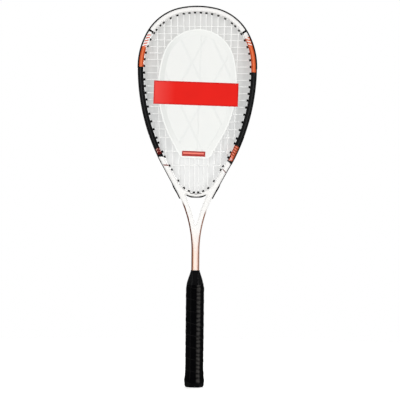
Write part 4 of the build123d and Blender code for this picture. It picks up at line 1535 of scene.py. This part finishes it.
def piece(name, soup, material, replaced, body="racket", sharp=38.0):
    """Piece of the part: smooth, but for edges sharper than an angle."""
    obj = mesh_object(name, soup.verts, soup.faces)
    mesh = obj.data
    mesh.validate()
    lane = mesh.attributes.new("lane", "FLOAT_VECTOR", "POINT")
    lane.data.foreach_set("vector", np.asarray(soup.tags, np.float32).reshape(-1))
    mesh.shade_smooth()
    mesh.set_sharp_from_angle(angle=math.radians(sharp))
    mesh.materials.append(material)
    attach(obj, body)
    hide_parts(replaced)
    bm = bmesh.new()
    bm.from_mesh(mesh)
    bmesh.ops.recalc_face_normals(bm, faces=bm.faces)
    bm.to_mesh(mesh)
    bm.free()


def leg_proud(head):
    """The legs' strip is a thin lip above and a thicker cover over the string's outer run."""
    def proud(run):
        thick = smooth((run - run_of_height(366)) / 6.0)
        crown = math.exp(-((run - run_of_height(357)) / 9.0) ** 2)
        upper = head * (1 - smooth((run - run_of_height(403)) / 5.0))
        return 1.3 + upper + thick * (0.7 + 0.45 * crown)
    return proud


plastic = plastic_material("grommet_plastic")
piece("frame_shell", frame_soup(), paint_material(), "frame_tube")
piece("bridge_shell", bridge_soup(), bridge_material(), "throat_bridge")
piece("bumper", strip_soup("bumper_guard", (1, -1), lambda run: BUMPER_PROUD, bumper_section),
      plastic, "bumper_guard")
for word, side, lip in (("left", -1, 0.2), ("right", 1, 0.6)):
    for part, proud_at in (("side", lambda run: SIDE_PROUD), ("leg", leg_proud(lip))):
        node = f"{part}_grommet_strip_{word}"
        piece(f"{part}_strip_{word}", strip_soup(node, (side,), proud_at), plastic, node)
piece("bridge_strip", bridge_strip_soup(), plastic_material("bridge_plastic", True),
      "bridge_grommet_strip")
for name, soup, twist, node in (("mains", main_soup(), 1.7, "main_string"),
                                ("crosses", cross_soup(), 1.7, "cross_string"),
                                ("knots", knot_soup(), 1.2, "string_knots")):
    piece(name, soup, string_material("string_" + name, twist), node, sharp=60)
piece("wrap", wrap_soup(), wrap_material(), "grip_wrap", sharp=50)
for name, soup, node, rough_range, scale, grain_scale, grain_depth, specular, sharp in (
        ("tape", tape_soup(), "finishing_tape", (0.2, 0.3), 90.0, 700.0, 0.0001, 0.04, 50),
        ("collar", collar_soup(), "grip_collar", (0.18, 0.28), 120.0, 2600.0, 0.00005, 0.05, 38),
        ("cap", cap_soup(), "butt_cap", (0.34, 0.5), 110.0, 2400.0, 0.00006, 0.025, 38)):
    black = dark_material(name, ((3, 3, 4), (6, 6, 7), (14, 14, 15)), rough_range, scale, grain_scale,
                          grain_depth, specular)
    piece(name, soup, black, node, sharp=sharp)
piece("display_card", card_soup(), card_material(), "insert_card", body="card", sharp=28)
piece("banner_print", banner_soup(), banner_material(), "card_banner", body="card")

core = dark_material("core", ((150, 146, 136), (168, 164, 152), (182, 178, 166)), (0.55, 0.75), 80.0, 1600.0,
                     0.0001, 0.3)
for name, material in (("handle_core_front", core), ("handle_core_back", core),
                       ("butt_cap_staples", steel_material())):
    for slot in frame["nodes"][name].material_slots:
        slot.material = material


# ---------------------------------------------------------------- stage

FLOOR_R = 1600.0                     # millimetres, as is the next
SHEET_INSET = 0.8
CAMERA_DISTANCE, CAMERA_ROLL = 3.2, 0.6    # metres and degrees
AIM_X, AIM_SHARE = 0.0072, 0.4907    # what the camera looks at: metres, and a share of the height
VIEW_SHARE = 1.0494                  # height of the view over the racket's


def seen_plainly(n):
    """1 for the rays that show a surface as it is: the camera's, and those by gloss or glass."""
    path = n.add("ShaderNodeLightPath").outputs
    return n.highest(path["Is Camera Ray"], n.highest(path["Is Glossy Ray"], path["Is Transmission Ray"]))


def floor():
    """Round pale floor that fades out, so that only the object's soft shadow shows on white."""
    rings, spokes = 24, 64
    turns = [2 * math.pi * k / spokes for k in range(spokes)]
    verts = [(0.0, 0.0, 0.0)] + [(FLOOR_R * r / rings * math.cos(a), FLOOR_R * r / rings * math.sin(a), 0.0)
                                 for r in range(1, rings + 1) for a in turns]
    faces = [(0, 1 + k, 1 + (k + 1) % spokes) for k in range(spokes)]
    for r in range(rings - 1):
        for k in range(spokes):
            a, b = 1 + r * spokes + k, 1 + r * spokes + (k + 1) % spokes
            faces.append((a, a + spokes, b + spokes, b))
    obj = mesh_object("floor", verts, faces)
    n = Nodes("floor")
    x, y, _ = n.split(n.place())
    fade = 1.0 - clamped((n.root(x * x + y * y) - 0.25) / 0.9)
    base = n.mix(n.noise(14.0) * 0.25, (250, 250, 249), (244, 244, 243))
    n.finish(Base_Color=base, Roughness=0.7, Specular_IOR_Level=0.1)
    glow = n.made(0, "ShaderNodeEmission", {"Strength": seen_plainly(n) * 0.5})
    lit = n.made(0, "ShaderNodeAddShader", {0: n.shader.outputs[0], 1: glow})
    n.output(n.two_shaders(fade, n.made(0, "ShaderNodeBsdfTransparent"), lit))
    obj.data.materials.append(n.owner)


def shade_sheet():
    """Grey sheet close behind the string bed, seen by the camera alone, that stands in for the shade inside the
    head: its grey is painted shade, darkest at the head's height and lighter towards the throat; it also takes
    the soft shadows of the strings, the card and the hoop, so that the white strings read against it."""
    half = [edge(s, beam_width(s) * 0.55)[0] for s in np.linspace(0, TOUCH_STATION, 90)]
    half += [from_bridge(a, BRIDGE_R + 4.5) for a in np.linspace(TOUCH_ANGLE, 0, 20)[1:]]
    half = np.array(half)
    whole = np.vstack([half, half[-2:0:-1] * np.array([-1.0, 1.0])])
    centre = whole.mean(0)
    sheet = lofted([[(p[0], HALF_DEPTH - SHEET_INSET, p[1]) for p in centre + (whole - centre) * r]
                    for r in (1.0, 0.8, 0.5, 0.2)], last=True)
    obj = mesh_object("shade_sheet", sheet.verts, sheet.faces)
    if obj.data.polygons[0].normal.y > 0:
        obj.data.flip_normals()
    n = Nodes("shade_sheet")
    # painted shade: grey darkest at the head's height, lighter towards the throat
    painted_shade_grey = n.ramp(n.split(n.place())[2] / (TOP_Z * MM),
                  [(0.5, (242, 242, 241)), (0.62, (237, 238, 237)), (0.74, (222, 223, 222)),
                   (0.84, (219, 219, 217)), (0.98, (222, 222, 220))])
    base = n.mix(n.noise(30.0) * 0.2, painted_shade_grey, (222, 222, 222))
    n.finish(Base_Color=base, Roughness=0.8, Specular_IOR_Level=0.05)
    glow = n.made(0, "ShaderNodeEmission", {"Color": base})
    even = n.two_shaders(0.55, n.shader.outputs[0], glow)
    behind = n.made("Backfacing", "ShaderNodeNewGeometry")
    n.output(n.two_shaders(behind, even, n.made(0, "ShaderNodeBsdfTransparent")))
    obj.data.materials.append(n.owner)
    obj.visible_diffuse = obj.visible_glossy = obj.visible_shadow = obj.visible_transmission = False


def world():
    """White where it is looked at, and dimmer as a light."""
    n = Nodes("studio", "worlds", "Background", "World Output")
    bpy.context.scene.world = n.owner
    white = (1.0, 1.0, 1.0, 1.0)
    n.finish(Color=white, Strength=0.32)
    backdrop = n.made(0, "ShaderNodeBackground", {"Color": white, "Strength": 1.0})
    n.output(n.two_shaders(seen_plainly(n), n.shader.outputs[0], backdrop))


def softbox(name, place, target, size, energy):
    lamp = bpy.data.lights.new(name, "AREA")
    lamp.shape = "RECTANGLE"
    lamp.size, lamp.size_y = size
    lamp.energy = energy
    obj = linked(name, lamp)
    obj.location = place
    obj.rotation_euler = (Vector(target) - Vector(place)).to_track_quat("-Z", "Y").to_euler()


def camera():
    """Straight on from the front with a long lens, turned a little so that the racket leans right."""
    low, high = CAD_BOX
    height = high.z - low.z
    data = bpy.data.cameras.new("camera")
    data.lens = data.sensor_width * CAMERA_DISTANCE / (height * VIEW_SHARE)
    data.clip_end = 60.0
    obj = linked("camera", data)
    obj.rotation_mode = "QUATERNION"
    level = Vector((0, 1, 0)).to_track_quat("-Z", "Y")
    obj.rotation_quaternion = level @ Quaternion((0, 0, 1), math.radians(CAMERA_ROLL))
    obj.location = (AIM_X, -CAMERA_DISTANCE, low.z + height * AIM_SHARE)
    bpy.context.scene.camera = obj


floor()
shade_sheet()
world()
camera()
softbox("key", (-2.1, -2.5, 1.2), (0, 0, 0.35), (2.4, 2.2), 60.0)
softbox("strip", (2.1, -2.1, 0.45), (0, 0, 0.3), (0.32, 1.7), 40.0)
softbox("back", (0.5, 2.2, 1.3), (0, 0, 0.4), (1.9, 1.5), 34.0)

bpy.context.scene.view_settings.view_transform = "Standard"
